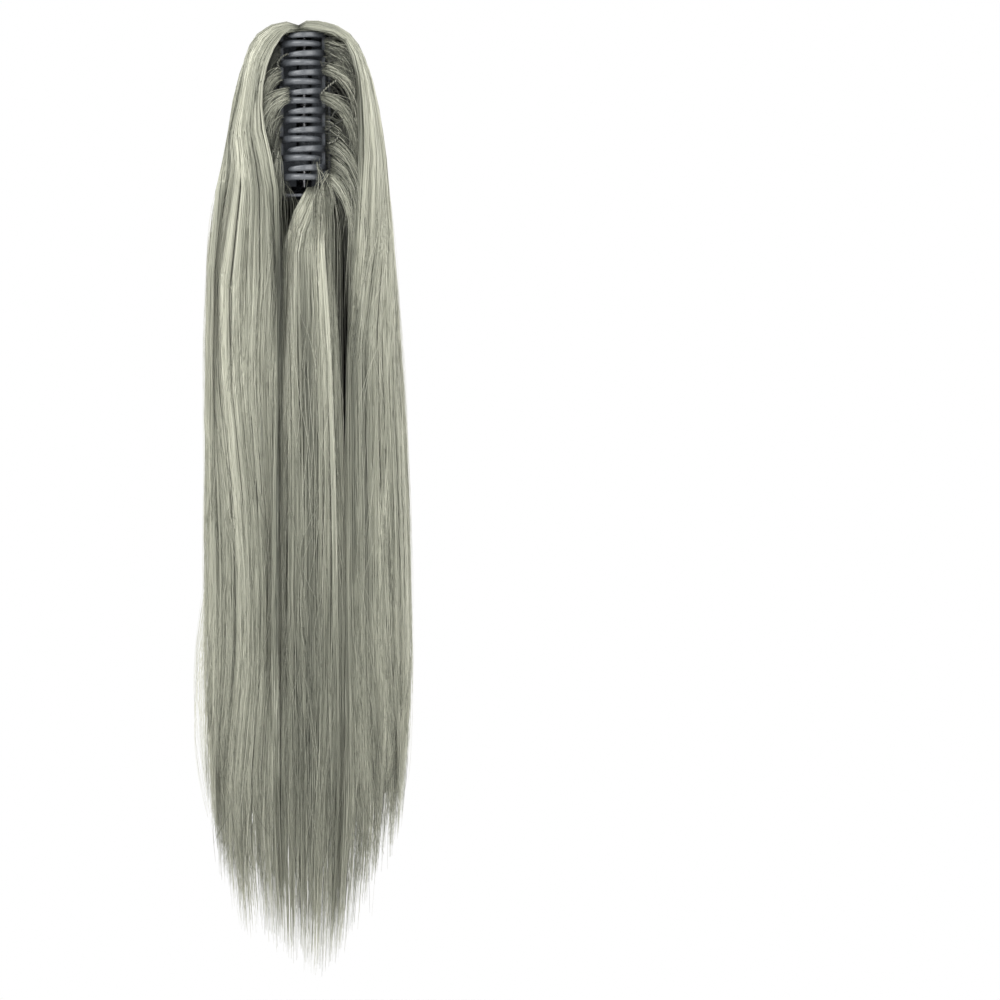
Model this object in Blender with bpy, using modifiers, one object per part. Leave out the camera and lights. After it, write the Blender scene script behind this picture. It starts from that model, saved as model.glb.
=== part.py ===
"""A long straight ponytail hairpiece on a claw clip.

Two toothed jaws turn on one upright pin and bite the wearer's own gathered hair.
A black net and two sewn bands carry the false hair, which hangs from a small crown
as a hollow outer fall, two front curtains and a centre tuft below the clip.

Frame: the origin is the middle of the clip's bite, +Z is up, +X is to the right for
someone who looks at the toothed side, and +Y points away from the wearer's head.
"""
from collections import namedtuple
from math import acos, atan2, copysign, cos, hypot, pi, radians, sin, sqrt
import random

import bmesh
import bpy
import numpy as np
from mathutils import Matrix, Vector

MM = 0.001
GAP = 0.3 * MM

# Heights along the hairpiece
CROWN_TOP = 54.7 * MM
SEAM = 46.8 * MM
LOWEST_TIP = -545.5 * MM
SIDE_TIP_RISE = 75.0 * MM
LAST_EVEN_ROW = -420.0 * MM

# Clip: an oval bite, its wall and the pin that the jaws turn on
BITE_HALF_WIDTH = 14.3 * MM
BITE_HALF_DEPTH = 18.0 * MM
JAW_WALL = 2.2 * MM
JAW_TOP = 46.2 * MM
JAW_BOTTOM = -48.0 * MM
JAW_BACK_ANGLE = radians(68.0)
JAW_FRONT_ANGLE = radians(-25.0)
JAW_CORNER = 6.0 * MM
PIN_Y = BITE_HALF_DEPTH
PIN_RADIUS = 1.25 * MM
BORE_RADIUS = 1.55 * MM
KNUCKLE_RADIUS = 3.4 * MM
KNUCKLE_LENGTH = 9.0 * MM
LUG_THICKNESS = 3.0 * MM
LUG_ANGLE = radians(66.0)

# Handles behind the pin, squeezed together to open the jaws
HANDLE_ANGLE = radians(63.4)
HANDLE_TIP = Vector((17.5 * MM, 36.0 * MM))
HANDLE_HALF_HEIGHT = 19.0 * MM

# Teeth
TOOTH_COUNT = 8
TOOTH_PITCH = 11.8 * MM
TOOTH_ROOT_ANGLE = radians(-18.0)
TOOTH_SIDES = 6

# Spring between the handles
COIL_RADIUS = 2.1 * MM
COIL_WIRE = 0.5 * MM
COIL_TURNS = 5
COIL_POINTS_PER_TURN = 10
COIL_HALF_LENGTH = 6.0 * MM
SPRING_LEG_REACH = 15.0 * MM

# Sewn bands and net
BAND_THICKNESS = 1.6 * MM
BAND_FRONT_ANGLE = radians(-8.0)
BAND_BACK_ANGLE = radians(35.0)
BAND_HALF_HEIGHT = 44.0 * MM
NET_WALL = 1.4 * MM
NET_POWER = 3.0
TONGUE_THICKNESS = 1.6 * MM
TONGUE_TOP = -53.9 * MM
TONGUE_LEFT = -12.0 * MM
TONGUE_RIGHT = 20.5 * MM
TONGUE_FRONT = -9.0 * MM
TONGUE_BACK = 40.4 * MM
TONGUE_BACK_HALF_WIDTH = 10.0 * MM

# Hair: outline powers, lock counts and the flutes between locks
OUTLINE_POWER = 2.5
FALL_LOCKS = 17
COLUMNS_PER_FALL_LOCK = 4
COLUMNS_PER_FRONT_LOCK = 3
CROWN_COLUMNS = 40
FLUTE_DEPTH = 1.7 * MM
NOTCH_BETWEEN_TIPS = 14.0 * MM
TIP_STAGGER = 7.0 * MM
CLIP_SPLIT_Y = -2.0 * MM
TIP_SPLIT_Y = 1.0 * MM

JawShape = namedtuple("JawShape", "side knuckles top_tooth tip_x slope")
LEFT_JAW = JawShape(-1, (-30.0 * MM, 18.0 * MM), 38.7 * MM, 11.2 * MM, 0.0)
RIGHT_JAW = JawShape(1, (-18.0 * MM, 30.0 * MM), 44.1 * MM, 8.2 * MM, 0.07)

Ring = namedtuple("Ring", "z left right back front")
CROWN_RINGS = (
    Ring(SEAM + GAP, 28.2 * MM, 29.5 * MM, 39.0 * MM, -19.0 * MM),
    Ring(49.5 * MM, 24.0 * MM, 26.0 * MM, 35.0 * MM, -17.0 * MM),
    Ring(52.0 * MM, 17.5 * MM, 20.5 * MM, 28.0 * MM, -13.0 * MM),
    Ring(53.8 * MM, 10.0 * MM, 12.5 * MM, 19.0 * MM, -6.0 * MM),
)
CROWN_CENTRE = Vector((0.0, 8.0 * MM, CROWN_TOP))

# The whole head of hair: distances from the middle to each side, to the back and front
HAIR_RINGS = (
    Ring(SEAM, 28.2 * MM, 29.5 * MM, 39.0 * MM, -19.0 * MM),
    Ring(44.0 * MM, 30.3 * MM, 31.5 * MM, 42.5 * MM, -20.0 * MM),
    Ring(36.0 * MM, 33.8 * MM, 36.2 * MM, 47.5 * MM, -21.5 * MM),
    Ring(24.0 * MM, 37.5 * MM, 41.5 * MM, 50.8 * MM, -22.2 * MM),
    Ring(11.0 * MM, 41.0 * MM, 45.5 * MM, 52.2 * MM, -22.5 * MM),
    Ring(-7.5 * MM, 45.0 * MM, 49.0 * MM, 53.6 * MM, -23.0 * MM),
    Ring(-24.0 * MM, 47.5 * MM, 50.8 * MM, 53.8 * MM, -23.2 * MM),
    Ring(-45.0 * MM, 51.5 * MM, 53.0 * MM, 52.5 * MM, -23.5 * MM),
    Ring(-82.0 * MM, 57.0 * MM, 56.0 * MM, 48.0 * MM, -23.0 * MM),
    Ring(-157.0 * MM, 58.5 * MM, 61.5 * MM, 38.5 * MM, -20.0 * MM),
    Ring(-231.0 * MM, 60.0 * MM, 65.0 * MM, 31.2 * MM, -17.5 * MM),
    Ring(-306.0 * MM, 60.0 * MM, 67.0 * MM, 26.2 * MM, -15.5 * MM),
    Ring(-381.0 * MM, 60.0 * MM, 67.5 * MM, 22.2 * MM, -13.5 * MM),
    Ring(-437.0 * MM, 57.5 * MM, 61.0 * MM, 18.2 * MM, -12.0 * MM),
    Ring(-474.0 * MM, 50.0 * MM, 48.0 * MM, 15.0 * MM, -10.0 * MM),
    Ring(-511.0 * MM, 43.0 * MM, 40.5 * MM, 12.0 * MM, -8.0 * MM),
    Ring(LOWEST_TIP, 32.0 * MM, 31.0 * MM, 9.0 * MM, -6.0 * MM),
)

Hollow = namedtuple("Hollow", "z half back")
# Inside faces of the net, which the handles swing in
NET_INSIDE = (
    Hollow(36.0 * MM, 26.8 * MM, 37.0 * MM),
    Hollow(24.0 * MM, 27.0 * MM, 44.6 * MM),
    Hollow(-24.0 * MM, 27.0 * MM, 45.0 * MM),
    Hollow(-48.0 * MM, 27.0 * MM, 42.0 * MM),
    Hollow(TONGUE_TOP - TONGUE_THICKNESS, 27.0 * MM, 40.0 * MM),
)
# Inside faces of the outer fall, which clear the net and narrow below it
FALL_INSIDE = (
    Hollow(SEAM, 26.3 * MM, 30.0 * MM),
    Hollow(36.0 * MM, 28.8 * MM, 39.2 * MM),
    Hollow(24.0 * MM, 28.8 * MM, 46.6 * MM),
    Hollow(-24.0 * MM, 28.8 * MM, 46.9 * MM),
    Hollow(-48.0 * MM, 28.8 * MM, 44.0 * MM),
    Hollow(-64.0 * MM, 28.8 * MM, 41.0 * MM),
    Hollow(-82.0 * MM, 28.4 * MM, 37.0 * MM),
    Hollow(-120.0 * MM, 27.8 * MM, 30.0 * MM),
    Hollow(-157.0 * MM, 27.0 * MM, 25.0 * MM),
    Hollow(-231.0 * MM, 25.0 * MM, 18.0 * MM),
    Hollow(-306.0 * MM, 22.0 * MM, 12.0 * MM),
    Hollow(-381.0 * MM, 18.0 * MM, 7.5 * MM),
    Hollow(LOWEST_TIP, 10.0 * MM, 3.0 * MM),
)

# Front edges: where each curtain ends beside the clip, and the tuft between them
Mouth = namedtuple("Mouth", "z left right tuft_left tuft_right")
MOUTH = (
    Mouth(SEAM, 26.4 * MM, 26.4 * MM, 2.0 * MM, 12.0 * MM),
    Mouth(30.0 * MM, 26.6 * MM, 30.0 * MM, 2.0 * MM, 12.0 * MM),
    Mouth(-48.0 * MM, 26.6 * MM, 30.6 * MM, 3.0 * MM, 13.5 * MM),
    Mouth(-64.0 * MM, 15.0 * MM, 30.4 * MM, 6.8 * MM, 21.8 * MM),
    Mouth(-82.0 * MM, 13.8 * MM, 30.0 * MM, 10.0 * MM, 24.3 * MM),
    Mouth(-119.0 * MM, 14.3 * MM, 30.0 * MM, 11.8 * MM, 26.0 * MM),
    Mouth(-157.0 * MM, 15.2 * MM, 29.5 * MM, 13.0 * MM, 26.7 * MM),
    Mouth(-231.0 * MM, 16.8 * MM, 28.9 * MM, 15.0 * MM, 27.4 * MM),
    Mouth(-381.0 * MM, 17.6 * MM, 28.8 * MM, 16.2 * MM, 27.6 * MM),
    Mouth(-437.0 * MM, 16.6 * MM, 26.0 * MM, 15.4 * MM, 25.0 * MM),
    Mouth(-474.0 * MM, 13.6 * MM, 21.4 * MM, 12.6 * MM, 20.4 * MM),
    Mouth(LOWEST_TIP, 9.4 * MM, 14.4 * MM, 8.4 * MM, 13.4 * MM),
)
TUFT_TOP = TONGUE_TOP - TONGUE_THICKNESS - GAP
TuftDepth = namedtuple("TuftDepth", "z front")
TUFT_DEPTHS = (
    TuftDepth(TUFT_TOP, 9.0 * MM),
    TuftDepth(-110.0 * MM, 13.5 * MM),
    TuftDepth(-306.0 * MM, 12.5 * MM),
    TuftDepth(-437.0 * MM, 10.5 * MM),
    TuftDepth(LOWEST_TIP, 6.0 * MM),
)

ROW_HEIGHTS = tuple(
    height * MM for height in (43.0, 36.0, 24.0, 0.0, -24.0, -48.0, -64.0, -82.0, -119.0, -170.0,
                               -231.0, -306.0, -370.0)
)

HAIR_COLOUR = (0.34, 0.34, 0.28)
FRONT_HAIR_COLOUR = (0.40, 0.40, 0.33)
TUFT_COLOUR = (0.29, 0.30, 0.24)
CROWN_COLOUR = (0.37, 0.37, 0.30)
BLACK_PLASTIC = (0.012, 0.013, 0.015)
BLACK_CLOTH = (0.02, 0.02, 0.022)
STEEL = (0.42, 0.42, 0.43)


def clear_scene():
    """Remove whatever the open scene holds."""
    for item in list(bpy.data.objects):
        bpy.data.objects.remove(item, do_unlink=True)


def add_collection(name):
    """Link a new collection to the scene."""
    collection = bpy.data.collections.new(name)
    bpy.context.scene.collection.children.link(collection)
    return collection


def finish(name, colour, roughness, metallic=0.0):
    """A Principled material in one colour."""
    material = bpy.data.materials.new(name)
    material.use_nodes = True
    shader = material.node_tree.nodes["Principled BSDF"]
    shader.inputs["Base Color"].default_value = (*colour, 1.0)
    shader.inputs["Roughness"].default_value = roughness
    shader.inputs["Metallic"].default_value = metallic
    return material


def add_piece(name, mesh, collection, material=None):
    """One named object for a mesh, smooth over its gentle edges."""
    mesh.shade_smooth()
    mesh.set_sharp_from_angle(angle=radians(40.0))
    if material is not None:
        mesh.materials.append(material)
    piece = bpy.data.objects.new(name, mesh)
    collection.objects.link(piece)
    return piece


def add_shaping_piece(name, mesh, collection):
    """A body that only joins or cuts another one."""
    piece = add_piece(name, mesh, collection)
    piece.hide_render = True
    piece.display_type = "WIRE"
    return piece


def mesh_from(build_faces, name):
    """Run a bmesh recipe, point its faces outward and return the mesh."""
    draft = bmesh.new()
    build_faces(draft)
    bmesh.ops.recalc_face_normals(draft, faces=draft.faces[:])
    mesh = bpy.data.meshes.new(name)
    draft.to_mesh(mesh)
    draft.free()
    return mesh


def read_table(table, column, z):
    """One named column of a table at height z, in a straight line between its rows."""
    rows = sorted(table, key=lambda row: row.z)
    return float(np.interp(z, [row.z for row in rows], [getattr(row, column) for row in rows]))


def mix(start, end, share):
    """The value at a share of the way from start to end."""
    return start + (end - start) * share


def superellipse(angle, power):
    """Unit point of a rounded-square curve at an angle."""
    across = copysign(abs(cos(angle)) ** (2.0 / power), cos(angle))
    along = copysign(abs(sin(angle)) ** (2.0 / power), sin(angle))
    return across, along


def lobe(share, locks):
    """1 on the ridge of a lock and 0 in the groove beside it."""
    return abs(cos(pi * share * locks))


def split_y(z):
    """Depth of the upright face where the front hair meets the fall."""
    share = min(max((SEAM - z) / (SEAM - LOWEST_TIP), 0.0), 1.0)
    return mix(CLIP_SPLIT_Y, TIP_SPLIT_Y, share)


def oval_point(angle, side, z, offset=0.0):
    """A point of the bite's oval, pushed out of it by offset."""
    across = BITE_HALF_WIDTH * cos(angle)
    along = BITE_HALF_DEPTH * sin(angle)
    normal = Vector((cos(angle) / BITE_HALF_WIDTH, sin(angle) / BITE_HALF_DEPTH)).normalized()
    return Vector((side * (across + normal.x * offset), along + normal.y * offset, z))


def slab(outer, inner):
    """Recipe for the closed body between two matching grids of points."""
    def build(draft):
        grids = [[[draft.verts.new(point) for point in row] for row in grid] for grid in (outer, inner)]
        row_count = len(outer)
        column_count = len(outer[0])
        for grid in grids:
            for row in range(row_count - 1):
                for column in range(column_count - 1):
                    draft.faces.new((grid[row][column], grid[row][column + 1],
                                     grid[row + 1][column + 1], grid[row + 1][column]))
        front, back = grids
        for row in (0, row_count - 1):
            for column in range(column_count - 1):
                draft.faces.new((front[row][column], front[row][column + 1],
                                 back[row][column + 1], back[row][column]))
        for column in (0, column_count - 1):
            for row in range(row_count - 1):
                draft.faces.new((front[row][column], front[row + 1][column],
                                 back[row + 1][column], back[row][column]))
    return build


def loft(rings):
    """Recipe for a closed body through rings of equal point counts, capped at both ends."""
    def build(draft):
        loops = [[draft.verts.new(point) for point in ring] for ring in rings]
        count = len(loops[0])
        for lower, upper in zip(loops, loops[1:]):
            for index in range(count):
                following = (index + 1) % count
                draft.faces.new((lower[index], lower[following], upper[following], upper[index]))
        draft.faces.new(loops[0])
        draft.faces.new(loops[-1])
    return build


def box(size, matrix):
    """Recipe for a box of a size, placed by a matrix."""
    def build(draft):
        bmesh.ops.create_cube(draft, size=1.0, matrix=matrix @ Matrix.Diagonal((*size, 1.0)))
    return build


def cylinder(radius, length, centre, sides=16):
    """Recipe for an upright cylinder around a centre."""
    def build(draft):
        bmesh.ops.create_cone(draft, cap_ends=True, segments=sides, radius1=radius, radius2=radius,
                              depth=length, matrix=Matrix.Translation(centre))
    return build


def bent_sheet(place, columns, rows):
    """Recipe for an open grid whose points a function places by their two shares."""
    def build(draft):
        bmesh.ops.create_grid(draft, x_segments=columns, y_segments=rows, size=0.5)
        for vertex in draft.verts:
            vertex.co = place(vertex.co.x + 0.5, vertex.co.y + 0.5)
    return build


def thicken(piece, thickness):
    """Give an open sheet its wall, half to each side."""
    wall = piece.modifiers.new("wall", "SOLIDIFY")
    wall.thickness = thickness
    wall.offset = 0.0
    wall.use_even_offset = True


def combine(piece, other, operation):
    """Join another body to a piece, or cut it away."""
    step = piece.modifiers.new(other.name, "BOOLEAN")
    step.operation = operation
    step.solver = "EXACT"
    step.object = other


def corner_inset(distance, radius):
    """How far a rounded corner draws the edge in, at a distance from the side."""
    if distance >= radius:
        return 0.0
    return radius - sqrt(radius ** 2 - (radius - distance) ** 2)


def jaw_sheet(side):
    """Middle surface of a jaw's curved wall, with rounded corners at the front."""
    arc = (JAW_BACK_ANGLE - JAW_FRONT_ANGLE) * (BITE_HALF_WIDTH + BITE_HALF_DEPTH) / 2.0

    def place(across, up):
        angle = mix(JAW_BACK_ANGLE, JAW_FRONT_ANGLE, across)
        inset = corner_inset(max(arc * (1.0 - across), 0.2 * MM), JAW_CORNER)
        z = mix(JAW_BOTTOM + inset, JAW_TOP, up)
        return oval_point(angle, side, z)
    return bent_sheet(place, 12, 2)


def handle_sheet(side):
    """Middle surface of a handle, from the jaw's wall out to its rounded tip."""
    root = oval_point(HANDLE_ANGLE, 1, 0.0)
    length = (HANDLE_TIP - root.xy).length

    def place(across, up):
        point = root.xy.lerp(HANDLE_TIP, across)
        inset = corner_inset(max(length * (1.0 - across), 0.2 * MM), JAW_CORNER)
        half = HANDLE_HALF_HEIGHT - inset
        return Vector((side * point.x, point.y, mix(-half, half, up)))
    return bent_sheet(place, 8, 1)


def tooth(jaw, index):
    """A tapered bar that follows the oval from the jaw to past the middle of the bite."""
    middle_z = jaw.top_tooth - index * TOOTH_PITCH
    tip_angle = -pi + acos(jaw.tip_x / BITE_HALF_WIDTH)
    sections = ((0.0, 1.0), (0.2, 0.98), (0.4, 0.94), (0.6, 0.88), (0.8, 0.8), (0.95, 0.66), (1.0, 0.38))
    rings = []
    for share, scale in sections:
        angle = mix(TOOTH_ROOT_ANGLE, tip_angle, share)
        centre = oval_point(angle, jaw.side, middle_z)
        centre.z += jaw.slope * jaw.side * centre.x
        out = oval_point(angle, jaw.side, 0.0, 1.0) - oval_point(angle, jaw.side, 0.0)
        ring = []
        for corner in range(TOOTH_SIDES):
            turn = 2.0 * pi * (corner + 0.5) / TOOTH_SIDES
            ring.append(centre + out * (1.2 * MM * scale * cos(turn))
                        + Vector((0.0, 0.0, 1.75 * MM * scale * sin(turn))))
        rings.append(ring)
    return loft(rings)


def lug(side, z):
    """The short block between a jaw's back edge and one of its knuckles."""
    start = Vector((0.0, PIN_Y, z))
    end = oval_point(LUG_ANGLE, side, z)
    reach = end - start
    turn = Matrix.Rotation(atan2(reach.y, reach.x), 4, "Z")
    size = (reach.length, LUG_THICKNESS, KNUCKLE_LENGTH - 2.0 * GAP)
    return box(size, Matrix.Translation((start + end) / 2.0) @ turn)


def build_jaw(name, jaw, collection, shaping, material):
    """A jaw: curved wall, handle, knuckles and teeth joined, then bored for the pin."""
    piece = add_piece(name, mesh_from(jaw_sheet(jaw.side), name), collection, material)
    thicken(piece, JAW_WALL)
    handle = add_shaping_piece(f"{name}_handle", mesh_from(handle_sheet(jaw.side), "handle"), shaping)
    thicken(handle, JAW_WALL)
    combine(piece, handle, "UNION")
    for number, z in enumerate(jaw.knuckles):
        for kind, recipe in (("lug", lug(jaw.side, z)),
                             ("knuckle", cylinder(KNUCKLE_RADIUS, KNUCKLE_LENGTH, (0.0, PIN_Y, z)))):
            joined = add_shaping_piece(f"{name}_{kind}_{number}", mesh_from(recipe, kind), shaping)
            combine(piece, joined, "UNION")
    for index in range(TOOTH_COUNT):
        bar = add_shaping_piece(f"{name}_tooth_{index}", mesh_from(tooth(jaw, index), "tooth"), shaping)
        combine(piece, bar, "UNION")
    bore_recipe = cylinder(BORE_RADIUS, 2.0 * (JAW_TOP - JAW_BOTTOM), (0.0, PIN_Y, 0.0))
    bore = add_shaping_piece(f"{name}_bore", mesh_from(bore_recipe, "bore"), shaping)
    combine(piece, bore, "DIFFERENCE")
    return piece


def build_band(name, side, collection, material):
    """A sewn band that lies on the outside of a jaw."""
    offset = JAW_WALL / 2.0 + GAP + BAND_THICKNESS / 2.0

    def place(across, up):
        angle = mix(BAND_BACK_ANGLE, BAND_FRONT_ANGLE, across)
        return oval_point(angle, side, mix(-BAND_HALF_HEIGHT, BAND_HALF_HEIGHT, up), offset)
    piece = add_piece(name, mesh_from(bent_sheet(place, 5, 1), name), collection, material)
    thicken(piece, BAND_THICKNESS)
    return piece


def build_spring(collection, material):
    """A round-wire coil on the pin whose two legs press the handles apart."""
    root = oval_point(HANDLE_ANGLE, 1, 0.0).xy
    along = (HANDLE_TIP - root).normalized()
    inward = Vector((-along.y, along.x))
    leg_end = root + along * SPRING_LEG_REACH + inward * (JAW_WALL / 2.0 + COIL_WIRE + 2.0 * GAP)
    reach = leg_end - Vector((0.0, PIN_Y))
    leave_angle = atan2(reach.y, reach.x) - acos(COIL_RADIUS / hypot(reach.x, reach.y))
    start_angle = -pi - leave_angle
    sweep = leave_angle - start_angle + 2.0 * pi * COIL_TURNS
    count = COIL_POINTS_PER_TURN * COIL_TURNS
    points = [(-leg_end.x, leg_end.y, -COIL_HALF_LENGTH)]
    for step in range(count + 1):
        share = step / count
        angle = start_angle + sweep * share
        points.append((COIL_RADIUS * cos(angle), PIN_Y + COIL_RADIUS * sin(angle),
                       mix(-COIL_HALF_LENGTH, COIL_HALF_LENGTH, share)))
    points.append((leg_end.x, leg_end.y, COIL_HALF_LENGTH))
    curve = bpy.data.curves.new("closing_spring", "CURVE")
    curve.dimensions = "3D"
    curve.bevel_depth = COIL_WIRE
    curve.bevel_resolution = 1
    curve.use_fill_caps = True
    spline = curve.splines.new("POLY")
    spline.points.add(len(points) - 1)
    for point, place in zip(spline.points, points):
        point.co = (*place, 1.0)
    curve.materials.append(material)
    piece = bpy.data.objects.new("closing_spring", curve)
    collection.objects.link(piece)
    return piece


def build_pin(collection, material):
    """The plain pin that both jaws turn on."""
    recipe = cylinder(PIN_RADIUS, SEAM - JAW_BOTTOM, (0.0, PIN_Y, (SEAM + JAW_BOTTOM) / 2.0))
    return add_piece("hinge_pin", mesh_from(recipe, "hinge_pin"), collection, material)


def hollow_point(table, angle, z, power, extra=0.0):
    """A point of a hollow's wall, from its left side round the back to its right side."""
    across, along = superellipse(angle, power)
    front = split_y(z) + GAP / 2.0
    half = read_table(table, "half", z) + extra
    back = read_table(table, "back", z) + extra
    return Vector((across * half, mix(front, back, along), z))


def build_net(collection, shaping, material):
    """The net behind the clip, with a tongue that runs forward below it."""
    heights = [row.z for row in NET_INSIDE]
    angles = [pi * (1.0 - step / 18) for step in range(19)]
    inner = [[hollow_point(NET_INSIDE, angle, z, NET_POWER) for angle in angles] for z in heights]
    outer = [[hollow_point(NET_INSIDE, angle, z, NET_POWER, NET_WALL) for angle in angles] for z in heights]
    piece = add_piece("weft_net", mesh_from(slab(outer, inner), "weft_net"), collection, material)
    plan = ((TONGUE_LEFT, TONGUE_FRONT), (TONGUE_RIGHT, TONGUE_FRONT),
            (TONGUE_BACK_HALF_WIDTH, TONGUE_BACK), (-TONGUE_BACK_HALF_WIDTH, TONGUE_BACK))
    faces = [[Vector((x, y, z)) for x, y in plan] for z in (TONGUE_TOP - TONGUE_THICKNESS, TONGUE_TOP)]
    tongue = add_shaping_piece("weft_net_tongue", mesh_from(loft(faces), "tongue"), shaping)
    combine(piece, tongue, "UNION")
    return piece


def build_crown(collection, material):
    """The low dome where the hair is gathered over the top of the clip."""
    rings = []
    for ring_row in CROWN_RINGS:
        ring = []
        for column in range(CROWN_COLUMNS):
            across, along = superellipse(2.0 * pi * column / CROWN_COLUMNS, OUTLINE_POWER)
            half = ring_row.right if across >= 0.0 else ring_row.left
            depth = (ring_row.back if along >= 0.0 else -ring_row.front) + abs(CLIP_SPLIT_Y)
            groove = 1.0 - 0.04 * (column % 2)
            ring.append(Vector((across * half * groove, CLIP_SPLIT_Y + along * depth * groove, ring_row.z)))
        rings.append(ring)

    def build(draft):
        loft(rings)(draft)
        top = max(draft.faces, key=lambda face: face.calc_center_median().z)
        bmesh.ops.poke(draft, faces=[top])
        apex = max(draft.verts, key=lambda vertex: len(vertex.link_edges))
        apex.co = CROWN_CENTRE
    return add_piece("crown", mesh_from(build, "crown"), collection, material)


def tip_height(lateral, share, locks, drops):
    """Where a column of hair ends: a rounded V overall, with one point to each lock."""
    lock = int(share * locks + 0.5)
    whole = LOWEST_TIP + SIDE_TIP_RISE * abs(lateral) ** 3
    return whole + TIP_STAGGER * drops[lock] + NOTCH_BETWEEN_TIPS * (1.0 - lobe(share, locks))


def lock_drops(seed, locks):
    """How far each lock's tip stops short of the lowest one, from 0 to 1."""
    chance = random.Random(seed)
    return [chance.random() for _ in range(locks + 1)]


def column_heights(tops, tip):
    """Even rows down to the last level one, then two more to the column's own tip."""
    return [*tops, LAST_EVEN_ROW, mix(LAST_EVEN_ROW, tip, 0.6), tip]


def build_fall(collection, material):
    """The outer hair: a deep hollow wall of locks round the back and both sides."""
    columns = FALL_LOCKS * COLUMNS_PER_FALL_LOCK
    drops = lock_drops(3, FALL_LOCKS)
    outer_columns = []
    inner_columns = []
    for column in range(columns + 1):
        share = column / columns
        angle = pi * (1.0 - share)
        across, along = superellipse(angle, OUTLINE_POWER)
        side = "right" if across >= 0.0 else "left"
        ridge = lobe(share, FALL_LOCKS)
        heights = column_heights((SEAM, *ROW_HEIGHTS), tip_height(across, share, FALL_LOCKS, drops))
        outer = []
        inner = []
        for row, z in enumerate(heights):
            front = split_y(z) + GAP / 2.0
            half = read_table(HAIR_RINGS, side, z)
            back = read_table(HAIR_RINGS, "back", z)
            groove = 0.0 if row == 0 else FLUTE_DEPTH * (1.0 - ridge)
            outward = Vector((across * half, along * back, 0.0)).normalized()
            point = Vector((across * half, mix(front, back, along), z)) - outward * groove
            point.y = max(point.y, front)
            lining = hollow_point(FALL_INSIDE, angle, z, NET_POWER)
            thin = Vector((0.9 * point.x, mix(front, point.y, 0.82), z))
            rows_left = len(heights) - 1 - row
            if rows_left < 2:
                lining = lining.lerp(thin, 1.0 - 0.5 * rows_left)
            outer.append(point)
            inner.append(lining)
        outer_columns.append(outer)
        inner_columns.append(inner)
    recipe = slab(list(zip(*outer_columns)), list(zip(*inner_columns)))
    return add_piece("outer_fall", mesh_from(recipe, "outer_fall"), collection, material)


def front_lock_columns(locks, seed, heights_above, edges, depth_at):
    """Matching front and back grids of the hair that hangs before the split face."""
    columns = locks * COLUMNS_PER_FRONT_LOCK
    drops = lock_drops(seed, locks)
    front_columns = []
    back_columns = []
    for column in range(columns + 1):
        share = column / columns
        tip_x = mix(*edges(LAST_EVEN_ROW), share)
        side = "right" if tip_x >= 0.0 else "left"
        lateral = tip_x / read_table(HAIR_RINGS, side, LAST_EVEN_ROW)
        heights = column_heights(heights_above, tip_height(lateral, share, locks, drops))
        front = []
        back = []
        for row, z in enumerate(heights):
            x = mix(*edges(z), share)
            plane = split_y(z) - GAP / 2.0
            depth = depth_at(share, z)
            depth -= min(FLUTE_DEPTH, 0.3 * depth) * (1.0 - lobe(share, locks))
            rows_left = len(heights) - 1 - row
            if rows_left < 2:
                depth = mix(depth, 1.0 * MM, 1.0 - 0.6 * rows_left)
            front.append(Vector((x, plane - depth, z)))
            back.append(Vector((x, plane, z)))
        front_columns.append(front)
        back_columns.append(back)
    return list(zip(*front_columns)), list(zip(*back_columns))


def build_curtain(name, side, locks, seed, collection, material):
    """The hair in front of the fall on one side, full at its inner edge."""
    word = "right" if side > 0 else "left"

    def edges(z):
        return side * read_table(HAIR_RINGS, word, z), side * read_table(MOUTH, word, z)

    def depth_at(share, z):
        full = split_y(z) - read_table(HAIR_RINGS, "front", z)
        bulge = max(1.0 - (1.0 - share) ** OUTLINE_POWER, 0.0) ** (1.0 / OUTLINE_POWER)
        inner = max(share - 0.75, 0.0) / 0.25
        return max(full * bulge * sqrt(1.0 - 0.8 * inner ** 2), 1.5 * MM)
    grids = front_lock_columns(locks, seed, (SEAM, *ROW_HEIGHTS), edges, depth_at)
    return add_piece(name, mesh_from(slab(*grids), name), collection, material)


def build_tuft(collection, material):
    """The hair that hangs between the curtains from the net's tongue."""
    def edges(z):
        return -read_table(MOUTH, "tuft_left", z), read_table(MOUTH, "tuft_right", z)

    def depth_at(share, z):
        bulge = (1.0 - abs(2.0 * share - 1.0) ** OUTLINE_POWER) ** (1.0 / OUTLINE_POWER)
        return max(read_table(TUFT_DEPTHS, "front", z) * bulge, 1.5 * MM) + split_y(z)
    heights = (TUFT_TOP, *(z for z in ROW_HEIGHTS if z < TUFT_TOP - 5.0 * MM))
    grids = front_lock_columns(5, 11, heights, edges, depth_at)
    return add_piece("centre_tuft", mesh_from(slab(*grids), "centre_tuft"), collection, material)


def add_hinge(name, pieces, collection):
    """An empty on the pin's axis that carries one jaw and its band."""
    hinge = bpy.data.objects.new(name, None)
    hinge.location = (0.0, PIN_Y, 0.0)
    collection.objects.link(hinge)
    for piece in pieces:
        piece.parent = hinge
        piece.matrix_parent_inverse = Matrix.Translation((0.0, -PIN_Y, 0.0))


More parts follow.
